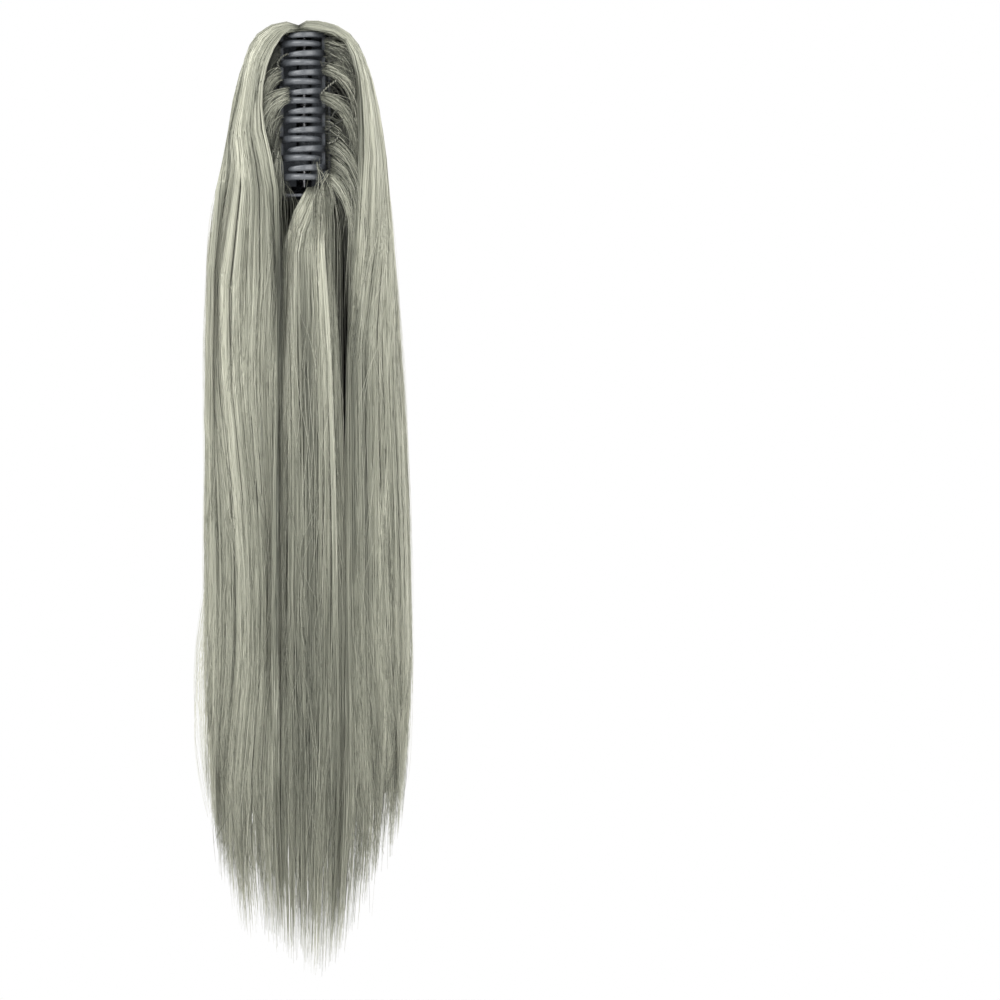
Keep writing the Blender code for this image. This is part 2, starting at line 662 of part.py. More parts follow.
def main():
    """Build every piece of the hairpiece."""
    clear_scene()
    hairpiece = add_collection("ponytail_hairpiece")
    shaping = add_collection("shaping_pieces")
    plastic = finish("black_plastic", BLACK_PLASTIC, 0.22)
    cloth = finish("black_cloth", BLACK_CLOTH, 0.9)
    steel = finish("spring_steel", STEEL, 0.35, 1.0)

    left_jaw = build_jaw("jaw_left", LEFT_JAW, hairpiece, shaping, plastic)
    right_jaw = build_jaw("jaw_right", RIGHT_JAW, hairpiece, shaping, plastic)
    left_band = build_band("weft_left", -1, hairpiece, cloth)
    right_band = build_band("weft_right", 1, hairpiece, cloth)
    add_hinge("left_hinge", (left_jaw, left_band), hairpiece)
    add_hinge("right_hinge", (right_jaw, right_band), hairpiece)
    build_pin(hairpiece, steel)
    build_spring(hairpiece, finish("coil_steel", STEEL, 0.3, 1.0))
    build_net(hairpiece, shaping, finish("net_cloth", BLACK_CLOTH, 0.95))

    build_crown(hairpiece, finish("crown_hair", CROWN_COLOUR, 0.5))
    build_fall(hairpiece, finish("fall_hair", HAIR_COLOUR, 0.5))
    front_hair = finish("front_hair", FRONT_HAIR_COLOUR, 0.5)
    build_curtain("left_curtain", -1, 5, 5, hairpiece, front_hair)
    build_curtain("right_curtain", 1, 4, 7, hairpiece, front_hair)
    build_tuft(hairpiece, finish("tuft_hair", TUFT_COLOUR, 0.55))


main()
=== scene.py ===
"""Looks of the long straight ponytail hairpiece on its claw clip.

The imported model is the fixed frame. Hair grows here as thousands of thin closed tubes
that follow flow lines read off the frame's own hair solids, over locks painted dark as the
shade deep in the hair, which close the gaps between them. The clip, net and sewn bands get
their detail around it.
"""
import math
from collections import namedtuple

import bpy
import numpy as np
from bpy.props import FloatProperty, FloatVectorProperty, IntProperty, PointerProperty
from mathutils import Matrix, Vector
from mathutils.bvhtree import BVHTree


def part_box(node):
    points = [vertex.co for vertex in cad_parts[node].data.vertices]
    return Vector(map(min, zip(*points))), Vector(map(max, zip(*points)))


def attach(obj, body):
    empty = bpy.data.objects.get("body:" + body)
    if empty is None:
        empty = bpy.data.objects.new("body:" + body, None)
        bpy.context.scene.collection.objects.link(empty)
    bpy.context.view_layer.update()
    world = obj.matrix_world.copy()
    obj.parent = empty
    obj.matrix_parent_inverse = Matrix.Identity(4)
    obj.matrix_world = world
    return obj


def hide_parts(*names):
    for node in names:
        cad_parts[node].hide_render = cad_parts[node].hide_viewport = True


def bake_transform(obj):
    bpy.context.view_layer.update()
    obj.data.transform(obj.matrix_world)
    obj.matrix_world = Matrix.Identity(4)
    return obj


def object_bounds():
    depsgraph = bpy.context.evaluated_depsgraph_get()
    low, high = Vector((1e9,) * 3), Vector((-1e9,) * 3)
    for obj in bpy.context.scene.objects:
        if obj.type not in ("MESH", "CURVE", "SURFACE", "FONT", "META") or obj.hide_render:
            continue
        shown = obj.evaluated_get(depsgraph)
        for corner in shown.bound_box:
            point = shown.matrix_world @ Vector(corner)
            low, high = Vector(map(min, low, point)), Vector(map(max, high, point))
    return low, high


bl_info = {
    "name": "Ponytail Hairpiece",
    "version": (1, 0, 0),
    "blender": (4, 5, 0),
    "location": "3D View > Sidebar > Hairpiece",
    "description": "Dresses a packed ponytail hairpiece with strands, clip, net and stage",
    "category": "Add Mesh",
}

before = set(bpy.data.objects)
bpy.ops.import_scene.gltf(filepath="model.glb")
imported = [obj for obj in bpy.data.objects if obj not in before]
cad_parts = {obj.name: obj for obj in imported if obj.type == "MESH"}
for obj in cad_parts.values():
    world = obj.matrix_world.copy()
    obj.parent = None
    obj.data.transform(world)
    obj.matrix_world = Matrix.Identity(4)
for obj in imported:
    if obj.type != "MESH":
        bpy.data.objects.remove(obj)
cad_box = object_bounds()
MM = 0.001

# Height below which the hair narrows to its tips
LAST_SOLID_ROW = -415.0 * MM
# Height below which the curtains are closed fronts, not the sides of the clip's opening
MOUTH_FOOT = -60.0 * MM
# Heights that the outer fall passes, from the shoulder of the crown down
FALL_HEIGHTS = (43, 38, 32, 24, 12, 0, -14, -30, -46, -62, -82, -105, -135, -170, -215, -265, -320,
                -370, -415)
# Shares of the way from the parting to the shoulder
CROWN_SHARES = (0.0, 0.22, 0.45, 0.65, 0.83)
# Edges of the front hair from the parting down, in millimetres: inner x and z, outer x and z
LEFT_EDGES = (
    (-2.2, 49.4, -2.1, 51.6), (-7.8, 47.0, -10.5, 52.6), (-12.6, 43.6, -19.4, 50.4),
    (-17.0, 36.6, -27.8, 45.6), (-21.0, 27.5, -32.2, 38.0), (-23.4, 18.0, -36.2, 27.0),
    (-24.7, 8.5, -40.3, 15.0), (-24.9, -1.0, -43.3, 2.0), (-23.6, -12.0, -45.4, -12.0),
    (-20.6, -24.5, -47.6, -25.5), (-17.0, -37.0, -50.4, -39.5), (-14.6, -50.0, -53.0, -52.0),
    (-13.4, -68.0, -56.0, -68.0), (-13.2, -90.0, -57.6, -90.0), (-14.2, -125.0, -58.2, -125.0),
    (-15.6, -170.0, -58.9, -170.0), (-16.6, -231.0, -59.9, -231.0), (-17.0, -306.0, -59.9, -306.0),
    (-17.0, -370.0, -59.9, -370.0), (-16.6, -415.0, -58.9, -415.0))
RIGHT_EDGES = (
    (-2.3, 49.6, -2.4, 51.6), (3.2, 48.9, 3.0, 52.8), (9.5, 47.8, 10.0, 52.3), (19.5, 46.4, 19.0, 51.0),
    (26.5, 42.5, 27.0, 46.8), (31.0, 36.5, 34.0, 38.8), (33.6, 27.5, 39.0, 28.5),
    (35.2, 17.0, 43.2, 15.5), (36.2, 6.0, 46.0, 3.0), (36.6, -6.0, 48.1, -9.0),
    (36.6, -18.0, 49.5, -20.0), (36.4, -30.0, 51.0, -31.0), (36.4, -44.0, 52.8, -44.0),
    (35.5, -68.0, 55.0, -68.0), (32.4, -90.0, 56.3, -90.0), (29.9, -125.0, 58.5, -125.0),
    (28.8, -170.0, 61.8, -170.0), (28.0, -231.0, 64.9, -231.0), (27.6, -306.0, 66.8, -306.0),
    (27.6, -370.0, 67.2, -370.0), (26.6, -415.0, 64.0, -415.0))
TUFT_EDGES = (
    (3.0, -50.0, 17.0, -47.5), (0.5, -54.0, 17.0, -53.0), (-2.4, -59.5, 16.8, -58.5),
    (-5.2, -65.5, 17.0, -65.0), (-7.8, -72.0, 17.4, -72.0), (-9.9, -80.0, 18.0, -80.0),
    (-11.4, -90.0, 18.9, -90.0), (-12.4, -105.0, 20.6, -105.0), (-12.9, -125.0, 22.4, -125.0),
    (-14.0, -170.0, 24.2, -170.0), (-15.0, -231.0, 25.1, -231.0), (-15.7, -306.0, 25.3, -306.0),
    (-16.0, -370.0, 25.4, -370.0), (-15.6, -415.0, 25.0, -415.0))
# Below the last row: height, share of the width kept, share of the depth kept
TIP_ROWS = ((-455.0, 0.95, 0.86), (-500.0, 0.86, 0.64), (-548.0, 0.72, 0.42))
# Heights where the hair stops being closed and where its last wisps end, by share of the half width
CLOSED_ENDS = np.array(((-1.0, -392), (-0.91, -440), (-0.72, -472), (-0.30, -477), (-0.16, -488), (0.0, -498),
                        (0.16, -496), (0.34, -497), (0.52, -480), (0.65, -460), (0.80, -440), (0.93, -403),
                        (1.0, -380))) * (1.0, MM)
WISP_ENDS = np.array(((-1.0, -425), (-0.88, -474), (-0.75, -513), (-0.48, -516), (-0.22, -526), (0.06, -543),
                      (0.27, -539), (0.44, -530), (0.56, -508), (0.66, -492), (0.80, -470), (0.93, -452),
                      (1.0, -415))) * (1.0, MM)
# Share of the strands that reach into the wisps, and how far above the closed edge the others end
WISP_SHARE = 0.24
SHORTEST = 85.0 * MM
# How much paler or darker hair is at each height
PALENESS = np.array(((-545, 0.02), (-480, -0.19), (-420, -0.22), (-300, -0.04), (-200, -0.01), (-90, 0.05),
                     (30, 0.05), (55, -0.05))) * (MM, 1.0)
# How far the outer hair lies inside its solid at each height: at the left side, and at the top
LEFT_DRAW = np.array(((-130, 0.0), (-90, 2.0), (-30, 1.8), (0, 1.2), (20, 0.8), (45, 0.8))) * MM
TOP_DRAW = np.array(((28, 0.0), (48, 0.7))) * MM
# Points across a flow, fine rows to each given row, fine rows kept outside the solids, smoothing passes
COLUMNS = 57
FINE_ROWS = 3.0
CLEAR_ROWS = 45
FLOW_PASSES = 8
# Widths of large and small groups of strands
BIG_CLUMP = 8.0 * MM
SMALL_CLUMP = 2.3 * MM
# How far the locks under the strands lie inside the solids
LOCK_DEPTH = 1.9 * MM
CROWN_LOCK_DEPTH = 2.0 * MM
# Where no solid stands behind a flow, the depth that it takes
CURTAIN_DEPTH = -20.6 * MM
TUFT_DEPTH = -10.8 * MM
# The parting, and how deep and wide the crown's locks dip along it above a height
PARTING = -2.3 * MM
PARTING_DIP = 1.6 * MM
PARTING_WIDTH = 4.0 * MM
PARTING_TOP = 49.0 * MM
# The locks' crown narrows and sinks above its foot, and their ends draw in and shorten
CROWN_FOOT = 30.0 * MM
CROWN_RISE = 17.0 * MM
CROWN_NARROWING = 0.05
CROWN_SINK = 1.2 * MM
END_NARROWING = 1.8
END_KEPT = 0.3
# Millimetres from the surface to the deepest strands, and from those to the highest
STRAND_DEPTH = -2.6
STRAND_RANGE = 2.9
# How far down the lead rows a strand may start, and the shares across where it may
START_REACH = 0.6
START_SHARES = (0.12, 0.93)
# Rows of each flow that lead from the root to where the hair hangs
FALL_LEAD = len(CROWN_SHARES) + 8
CURTAIN_LEAD = 11
TUFT_LEAD = 6
# Places in millimetres, front to back, that the fall's edges pass, and the middle of the fall
SIDE_STEPS = (-15.0, -11.0, -7.0, -4.5, -2.0, 0.0)
FALL_MIDDLE = 2.0 * MM
# Where rays start, well outside the hair
OUTSIDE = 0.3
OVERHEAD = 0.2
# Height over which a band of tone fades at its ends
BAND_FADE = 18.0 * MM
# The oval that the clip's teeth lie on, their half sizes and their rows
BITE_HALF_WIDTH = 14.3 * MM
BITE_HALF_DEPTH = 18.0 * MM
TOOTH_ROOT_TURN = math.radians(-18.0)
TOOTH_HALF_THICK = 1.5 * MM
TOOTH_HALF_TALL = 2.1 * MM
TOOTH_COUNT = 8
TOOTH_PITCH = 11.8 * MM
ToothRow = namedtuple("ToothRow", "word side top tip_x slope groove")
TOOTH_ROWS = (ToothRow("left", -1.0, 38.7 * MM, 11.2 * MM, 0.0, 0.0),
              ToothRow("right", 1.0, 44.1 * MM, 8.2 * MM, 0.07, 0.45))

# Strands from one root, in millimetres: its place and spread, the upper and lower ends of their fan,
# and the length that then hangs; and their count, tone and curl
Bundle = namedtuple("Bundle", "root root_spread high_end low_end tail count tone curl")
LEFT_BUNDLES = (
    Bundle((-13.4, -14.5, 33.0), 5.0, (-20.0, -16.0, 26.0), (-24.0, -16.5, 10.0), 30.0, 40, -0.10, 0.9),
    Bundle((-13.2, -17.0, 19.0), 4.5, (-24.4, -17.5, 12.0), (-23.2, -17.8, -3.0), 35.0, 85, 0.36, 0.5),
    Bundle((-8.2, -19.9, 6.5), 3.8, (-24.6, -18.6, 1.0), (-20.5, -19.4, -18.0), 50.0, 130, 0.50, 0.35),
    Bundle((-12.4, -18.5, -7.0), 4.0, (-22.0, -18.6, -17.0), (-17.5, -19.2, -31.0), 45.0, 48, 0.14, 0.6),
    Bundle((-14.0, -17.5, -18.0), 4.0, (-18.5, -18.8, -26.0), (-15.0, -18.8, -42.0), 60.0, 30, 0.04, 0.8),
    Bundle((-14.4, -17.0, -29.0), 5.0, (-18.4, -18.6, -40.0), (-14.2, -18.8, -56.0), 70.0, 80, 0.40, 0.4),
    Bundle((-14.6, -10.0, 0.0), 42.0, (-25.5, -11.0, 25.0), (-17.0, -13.0, -60.0), 40.0, 110, -0.16, 0.6))
RIGHT_BUNDLES = (
    Bundle((14.5, -16.5, 37.0), 4.5, (29.5, -17.0, 36.0), (33.0, -17.5, 14.0), 30.0, 100, 0.26, 1.7),
    Bundle((15.5, -17.0, 31.0), 4.5, (31.5, -17.6, 27.0), (34.0, -17.8, 4.0), 40.0, 70, 0.12, 1.0),
    Bundle((13.4, -18.4, 23.0), 2.6, (32.0, -18.2, 14.0), (33.5, -18.4, -8.0), 40.0, 110, 0.38, 0.45),
    Bundle((12.6, -19.0, 5.5), 3.0, (29.0, -18.4, -1.0), (34.0, -19.0, -27.0), 45.0, 130, 0.46, 0.4),
    Bundle((14.5, -17.4, -12.0), 6.0, (27.0, -18.0, -15.0), (33.5, -18.8, -40.0), 45.0, 40, 0.10, 1.2),
    Bundle((17.5, -17.4, -24.0), 4.5, (35.8, -19.4, -44.0), (38.5, -20.6, -63.0), 55.0, 110, 0.38, 0.4),
    Bundle((19.0, -15.6, -36.0), 4.0, (31.8, -19.4, -53.0), (38.0, -20.8, -74.0), 70.0, 110, 0.42, 0.4),
    Bundle((17.0, -13.6, -44.0), 4.0, (30.2, -18.6, -63.0), (33.6, -19.2, -90.0), 100.0, 120, 0.66, 0.3),
    Bundle((14.6, -10.0, 0.0), 42.0, (28.5, -11.0, 30.0), (29.0, -13.0, -60.0), 50.0, 130, -0.05, 0.6))
# Thin hair over the gaps beside the tuft and across the foot of the clip
TUFT_WISPS = (
    Bundle((16.5, -13.0, -47.0), 2.5, (18.5, -13.6, -72.0), (30.5, -14.6, -84.0), 190.0, 36, 0.34, 0.5),
    Bundle((9.5, -19.9, -33.0), 6.0, (-4.0, -14.0, -60.0), (19.0, -14.0, -64.0), 50.0, 12, 0.42, 0.8),
    Bundle((-11.5, -12.5, -46.0), 2.0, (-12.5, -13.0, -60.0), (-3.0, -13.6, -62.0), 80.0, 16, 0.24, 0.8),
    Bundle((17.0, -14.0, -42.0), 3.0, (6.0, -13.8, -58.0), (19.0, -13.8, -64.0), 60.0, 34, 0.40, 0.7))
# Sewing threads at the sides of the clip: tone, and route in millimetres
RIGHT_THREADS = (
    (0.05, ((11.4, -19.6, 27.5), (13.0, -20.0, 24.0), (17.0, -19.2, 27.4), (21.6, -18.6, 28.4))),
    (0.70, ((11.6, -19.6, 6.6), (14.0, -20.0, 9.6), (18.0, -19.6, 13.2), (22.0, -18.8, 16.0))),
    (0.05, ((14.8, -18.6, -15.5), (19.0, -19.4, -12.6), (26.6, -19.0, -8.0), (24.0, -19.6, -3.0),
            (20.0, -19.6, -3.4), (18.6, -19.0, -7.5))),
    (0.60, ((16.0, -18.8, -23.4), (20.4, -19.4, -22.2), (23.2, -19.2, -18.6), (22.4, -18.8, -15.0))))
LEFT_THREADS = (
    (0.35, ((-8.4, -19.4, 32.0), (-12.0, -19.4, 30.4), (-15.2, -18.6, 26.6), (-13.6, -18.2, 22.0))),
    (0.30, ((-14.0, -18.0, -9.0), (-16.2, -18.8, -14.0), (-15.0, -18.8, -19.6))),
    (0.60, ((-14.6, -18.4, -25.0), (-17.8, -19.0, -27.6), (-15.4, -19.2, -31.5), (-14.2, -18.4, -36.0))))

# Two-ply thread: points, smoothing passes, length of a twist, each ply's offset and half thickness
THREAD_POINTS = 40
THREAD_PASSES = 12
THREAD_TWIST = 1.9 * MM
PLY_OFFSET = 0.32 * MM
PLY_RADIUS = 0.33 * MM

# Fine loose hair: middle tone and its spread, how tone and thickness run along a strand, its share of
# the strand radius, and the most that this share is multiplied by
Fine = namedtuple("Fine", "tone spread tone_run taper thickness most")
EVEN = ((0.0, 1.0), (0.0, 0.0))
LOOSE_HAIR = Fine(0.56, 0.17, EVEN, ((0.0, 0.25, 0.75, 1.0), (0.3, 1.0, 1.0, 0.3)), 0.55, 1.2)
FAN_HAIR = Fine(0.74, 0.12, EVEN, ((0.0, 0.3, 1.0), (0.5, 1.0, 0.4)), 0.40, 1.3)
STRAY_HAIR = Fine(0.78, 0.10, EVEN, ((0.0, 0.2, 1.0), (0.4, 1.0, 0.4)), 0.42, 1.3)
TIP_HAIR = Fine(0.52, 0.10, ((0.0, 0.5, 1.0), (-0.18, -0.05, 0.36)),
                ((0.0, 0.7, 1.0), (0.9, 0.85, 0.3)), 0.85, 1.2)

Light = namedtuple("Light", "name place share")
LIGHT_SIZE = 1.7
LIGHT_AIM = (0.0, 0.0, -0.15)
LIGHTS = (Light("key_light", (-1.1, -2.0, 1.0), 1.0), Light("fill_light", (1.5, -1.9, 0.5), 0.6))


class HairSettings(bpy.types.PropertyGroup):
    """Strand sizes, counts and colours."""
    radius: FloatProperty(name="Strand radius", description="Half the thickness of a strand group",
                          default=0.00021, min=0.00005, unit="LENGTH", precision=5)
    fall_count: IntProperty(name="Fall strands", description="Strands in each third of the outer fall",
                            default=1020, min=10)
    left_count: IntProperty(name="Left strands", description="Strands in the left curtain",
                            default=1700, min=10)
    right_count: IntProperty(name="Right strands", description="Strands in the right curtain",
                             default=1380, min=10)
    tuft_count: IntProperty(name="Tuft strands", description="Strands in the centre tuft",
                            default=1000, min=10)
    pale: FloatVectorProperty(name="Pale strands", description="Colour of the palest strands",
                              subtype="COLOR", default=(0.66, 0.66, 0.55))
    middle: FloatVectorProperty(name="Middle strands", description="Colour of most strands",
                                subtype="COLOR", default=(0.37, 0.375, 0.30))
    dark: FloatVectorProperty(name="Dark strands", description="Colour of the darkest strands",
                              subtype="COLOR", default=(0.13, 0.135, 0.105))
    roughness: FloatProperty(name="Hair roughness", description="How soft the shine on the hair is",
                             default=0.42, min=0.0, max=1.0, subtype="FACTOR")


class ClipSettings(bpy.types.PropertyGroup):
    """Colours of the claw clip and the cloth on it."""
    # The plastic and cloth colours are paler than the black material, as painted light that lifts the shade
    # in the clip's bite; the teeth take a darker copy of the plastic.
    plastic: FloatVectorProperty(name="Plastic", description="Colour of the moulded jaws",
                                 subtype="COLOR", default=(0.074, 0.081, 0.090))
    cloth: FloatVectorProperty(name="Cloth", description="Colour of the net and bands",
                               subtype="COLOR", default=(0.055, 0.058, 0.064))
    metal: FloatVectorProperty(name="Metal", description="Colour of the pin and spring",
                               subtype="COLOR", default=(0.45, 0.45, 0.46))


class StageSettings(bpy.types.PropertyGroup):
    """Camera, light and floor."""
    distance: FloatProperty(name="Camera distance", description="From the hairpiece to the lens",
                            default=3.0, min=0.5, unit="LENGTH")
    picture_width: FloatProperty(name="Picture width", description="Real width that the picture spans",
                                 default=0.622, min=0.1, unit="LENGTH")
    aside: FloatProperty(name="Aside", description="How far the camera stands to the right",
                         default=0.1225, unit="LENGTH")
    height: FloatProperty(name="Camera height", description="Height of the lens above the clip",
                          default=-0.2438, unit="LENGTH")
    floor_height: FloatProperty(name="Floor height", description="Height of the floor under the tips",
                                default=-0.72, unit="LENGTH")
    background: FloatProperty(name="Background", description="Strength of the white surroundings",
                              default=1.0, min=0.0)
    key_power: FloatProperty(name="Key light", description="Power of the large light in front",
                             default=42.0, min=0.0, unit="POWER")


class Value:
    """A shader value that Python's operators act on by adding Math nodes."""

    def __init__(self, shader, socket):
        self.shader = shader
        self.socket = socket

    def _math(self, operation, first, second):
        return self.shader.node("ShaderNodeMath", {"operation": operation}, {0: first, 1: second})["Value"]

    def __add__(self, other):
        return self._math("ADD", self, other)

    __radd__ = __add__

    def __sub__(self, other):
        return self._math("SUBTRACT", self, other)

    def __rsub__(self, other):
        return self._math("SUBTRACT", other, self)

    def __mul__(self, other):
        return self._math("MULTIPLY", self, other)

    __rmul__ = __mul__


class Outputs:
    """A node's outputs by name, each as a Value."""

    def __init__(self, shader, node):
        self.shader = shader
        self.made = node

    def __getitem__(self, name):
        return Value(self.shader, self.made.outputs[name])


class Shader:
    """The nodes of one material around its Principled shader."""

    def __init__(self, name):
        self.material = bpy.data.materials.new(name)
        self.material.use_nodes = True
        self.tree = self.material.node_tree
        self.surface = self.tree.nodes["Principled BSDF"]

    def feed(self, socket, value):
        """Link a Value to a socket, or set the socket's own number or colour."""
        if isinstance(value, Value):
            self.tree.links.new(value.socket, socket)
        else:
            socket.default_value = value

    def node(self, kind, settings=None, sockets=None):
        """Any node, with its settings set first and then its sockets' values or links."""
        made = self.tree.nodes.new(kind)
        for key, value in (settings or {}).items():
            if key == "stops":
                set_stops(made.color_ramp, value)
            else:
                setattr(made, key, value)
        for key, value in (sockets or {}).items():
            self.feed(made.inputs[key], value)
        return Outputs(self, made)

    def set(self, **sockets):
        """Values or links of the Principled shader, with _ for a space in a socket's name."""
        for key, value in sockets.items():
            self.feed(self.surface.inputs[key.replace("_", " ")], value)

    def noise(self, stretch, detail):
        """Noise on the piece's own coordinates, stretched by a scale for each axis."""
        place = self.node("ShaderNodeTexCoord")["Object"]
        stretched = self.node("ShaderNodeMapping", None, {"Vector": place, "Scale": stretch})
        return self.node("ShaderNodeTexNoise", None,
                         {"Vector": stretched["Vector"], "Scale": 1.0, "Detail": detail})["Fac"]


def set_stops(ramp, stops):
    """Place a colour ramp's stops, each with a position and a colour."""
    while len(ramp.elements) < len(stops):
        ramp.elements.new(0.5)
    for element, (position, colour) in zip(ramp.elements, stops):
        element.position = position
        element.color = (*colour, 1.0)


# Bands of paler and darker hair: share across, width, amount, lowest and highest height in millimetres.
# They mix the hair's own streaks with painted light: pale bands at the outer edges are painted light
# through the thin hair there, pale bands high on the curtains are painted highlight, and dark bands
# at the inner edges beside the clip and the tuft are painted shade.
LEFT_BANDS = (
    (0.50, 0.13, 0.20, -60, 60), (0.30, 0.08, -0.14, -70, 30), (0.80, 0.035, -0.30, -140, 30),
    (0.90, 0.35, -0.15, 38, 60), (0.50, 0.60, 0.08, -470, -60), (0.50, 0.60, 0.05, -210, -70),
    (0.90, 0.05, 0.22, -560, -20), (0.06, 0.085, -0.72, -140, -45), (0.04, 0.05, -0.34, -270, -115),
    (0.03, 0.035, -0.25, -430, -240), (0.62, 0.07, 0.12, -260, -60), (0.40, 0.04, -0.14, -300, -60),
    (0.97, 0.04, 0.20, -560, -120))
RIGHT_BANDS = (
    (0.05, 0.10, -0.28, -80, 40), (0.45, 0.14, 0.24, -90, 40), (0.50, 0.70, 0.11, -470, 50),
    (0.85, 0.04, -0.16, -60, 45), (0.62, 0.08, 0.10, -330, -60), (0.02, 0.05, -0.25, -420, -90),
    (0.40, 0.06, -0.14, -300, -90), (0.80, 0.03, -0.12, -420, -150), (0.94, 0.05, 0.16, -560, -80),
    (0.3, 0.4, -0.05, -230, -100), (0.9, 0.35, -0.25, 36, 60))
TUFT_BANDS = (
    (0.24, 0.14, 0.32, -200, -56), (0.45, 0.5, 0.17, -110, -44), (0.5, 0.6, -0.03, -240, -100),
    (0.52, 0.08, -0.14, -260, -56), (0.80, 0.09, 0.24, -320, -56), (0.02, 0.03, -0.25, -420, -70),
    (0.99, 0.03, -0.30, -560, -70))
FALL_BANDS = (
    (0.0, 0.07, 0.22, -560, 0), (1.0, 0.07, 0.22, -560, 0), (0.5, 0.22, -0.10, -420, -120),
    (0.5, 0.34, -0.16, -560, -250), (0.3, 0.03, -0.16, -300, 30), (0.42, 0.025, 0.16, -380, 20),
    (0.63, 0.03, 0.14, -300, 30), (0.72, 0.02, -0.16, -420, 10))


def hair_material(name, settings, shade=1.0):
    """Strand finish: each strand's own tone, with fine streaks along its length."""
    shader = Shader(name)
    tone = shader.node("ShaderNodeAttribute", {"attribute_name": "tone"})["Fac"]
    streak = shader.noise((700.0, 700.0, 14.0), 2.0)
    band = shader.noise((60.0, 60.0, 9.0), 1.0)
    level = tone + (streak - 0.5) * 0.16 + (band - 0.5) * 0.16
    dark, middle, pale = ([channel * shade for channel in colour]
                          for colour in (settings.dark, settings.middle, settings.pale))
    deep = [channel * 0.4 for channel in dark]
    ramp = shader.node("ShaderNodeValToRGB",
                       {"stops": ((0.0, deep), (0.16, dark), (0.5, middle), (0.92, pale))}, {"Fac": level})
    shader.set(Base_Color=ramp["Color"], Roughness=streak * 0.16 + (settings.roughness - 0.08),
               Specular_IOR_Level=0.45)
    return shader.material


def lock_material(name, settings, shade=1.0, stretch=(900.0, 900.0, 10.0)):
    """Finish of the closed locks beneath the strands: painted dark as the shade deep in the hair, finely
    streaked down the hair.
    """
    shader = Shader(name)
    streak = shader.noise(stretch, 4.0)
    # The locks' dark colour is painted shade of the hair under the strands; shade makes it darker or paler.
    dark = [channel * 0.6 * shade for channel in settings.dark]
    pale = [channel * 0.75 * shade for channel in settings.middle]
    ramp = shader.node("ShaderNodeValToRGB", {"stops": ((0.3, dark), (0.75, pale))}, {"Fac": streak})
    bump = shader.node("ShaderNodeBump", None, {"Height": streak, "Strength": 0.6, "Distance": 0.0004})
    shader.set(Base_Color=ramp["Color"], Roughness=0.6, Normal=bump["Normal"])
    return shader.material


def plastic_material(name, settings, roughness, coat, shade=1.0):
    """Black moulded plastic with a clear gloss and faint flow marks."""
    shader = Shader(name)
    place = shader.node("ShaderNodeTexCoord")["Object"]
    cloud = shader.node("ShaderNodeTexNoise", None, {"Vector": place, "Scale": 140.0, "Detail": 3.0})["Fac"]
    fine = shader.node("ShaderNodeTexNoise", None, {"Vector": place, "Scale": 900.0, "Detail": 2.0})["Fac"]
    bump = shader.node("ShaderNodeBump", None, {"Height": cloud, "Strength": 0.12, "Distance": 0.0006})
    dark = [channel * shade for channel in settings.plastic]
    pale = [channel * 1.7 for channel in dark]
    ramp = shader.node("ShaderNodeValToRGB", {"stops": ((0.35, dark), (0.8, pale))}, {"Fac": fine})
    shader.set(Base_Color=ramp["Color"], Roughness=cloud * 0.16 + roughness, Normal=bump["Normal"],
               Specular_IOR_Level=0.3 + coat, Coat_Weight=coat, Coat_Roughness=0.22)
    return shader.material


def cloth_material(name, settings):
    """Black knitted net and band: dull, with a small even mesh."""
    shader = Shader(name)
    place = shader.node("ShaderNodeTexCoord")["Object"]
    mesh = shader.node("ShaderNodeTexVoronoi", {"feature": "DISTANCE_TO_EDGE"},
                       {"Vector": place, "Scale": 620.0})["Distance"]
    bump = shader.node("ShaderNodeBump", None, {"Height": mesh, "Strength": 0.8, "Distance": 0.0006})
    thread = [channel * 2.2 for channel in settings.cloth]
    ramp = shader.node("ShaderNodeValToRGB", {"stops": ((0.05, thread), (0.3, settings.cloth))},
                       {"Fac": mesh})
    shader.set(Base_Color=ramp["Color"], Roughness=0.95 - mesh * 0.3, Normal=bump["Normal"],
               Specular_IOR_Level=0.15)
    return shader.material


def metal_material(name, settings):
    """Drawn steel with fine scratches along it."""
    shader = Shader(name)
    scratch = shader.noise((2500.0, 2500.0, 90.0), 2.0)
    shader.set(Base_Color=(*settings.metal, 1.0), Metallic=1.0, Roughness=scratch * 0.3 + 0.2)
    return shader.material


def tree_of(name):
    """A search tree of one frame node's triangles."""
    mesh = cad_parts[name].data
    return BVHTree.FromPolygons([vertex.co.copy() for vertex in mesh.vertices],
                                [tuple(face.vertices) for face in mesh.polygons])


def cast(tree, start, towards):
    """Where a ray first meets the tree, or None."""
    return tree.ray_cast(Vector(start), Vector(towards))[0]


def look_up(table, places):
    """Values between the rows of a two-column table."""
    return np.interp(places, table[:, 0], table[:, 1])


def unit(vectors):
    """The same directions, each of length one."""
    return vectors / np.maximum(np.linalg.norm(vectors, axis=-1, keepdims=True), 1e-9)


def ease(values):
    """Draw all rows but the first and last towards their neighbours, in place."""
    values[1:-1] = (values[:-2] + 2.0 * values[1:-1] + values[2:]) / 4.0


def run_along(points):
    """Distance along a line to each of its points."""
    return np.concatenate([[0.0], np.cumsum(np.linalg.norm(np.diff(points, axis=0), axis=1))])


def even_out(points, count=COLUMNS):
    """The same line with its points evenly spaced."""
    run = run_along(points)
    even = np.linspace(0.0, run[-1], count)
    return np.stack([np.interp(even, run, points[:, axis]) for axis in range(3)], 1)


def between(first, last, run):
    """Steps from each first value to each last one."""
    return first[:, None] + (last - first)[:, None] * run


def add_object(name, mesh):
    """A new object in the scene for a mesh."""
    piece = bpy.data.objects.new(name, mesh)
    bpy.context.scene.collection.objects.link(piece)
    return piece


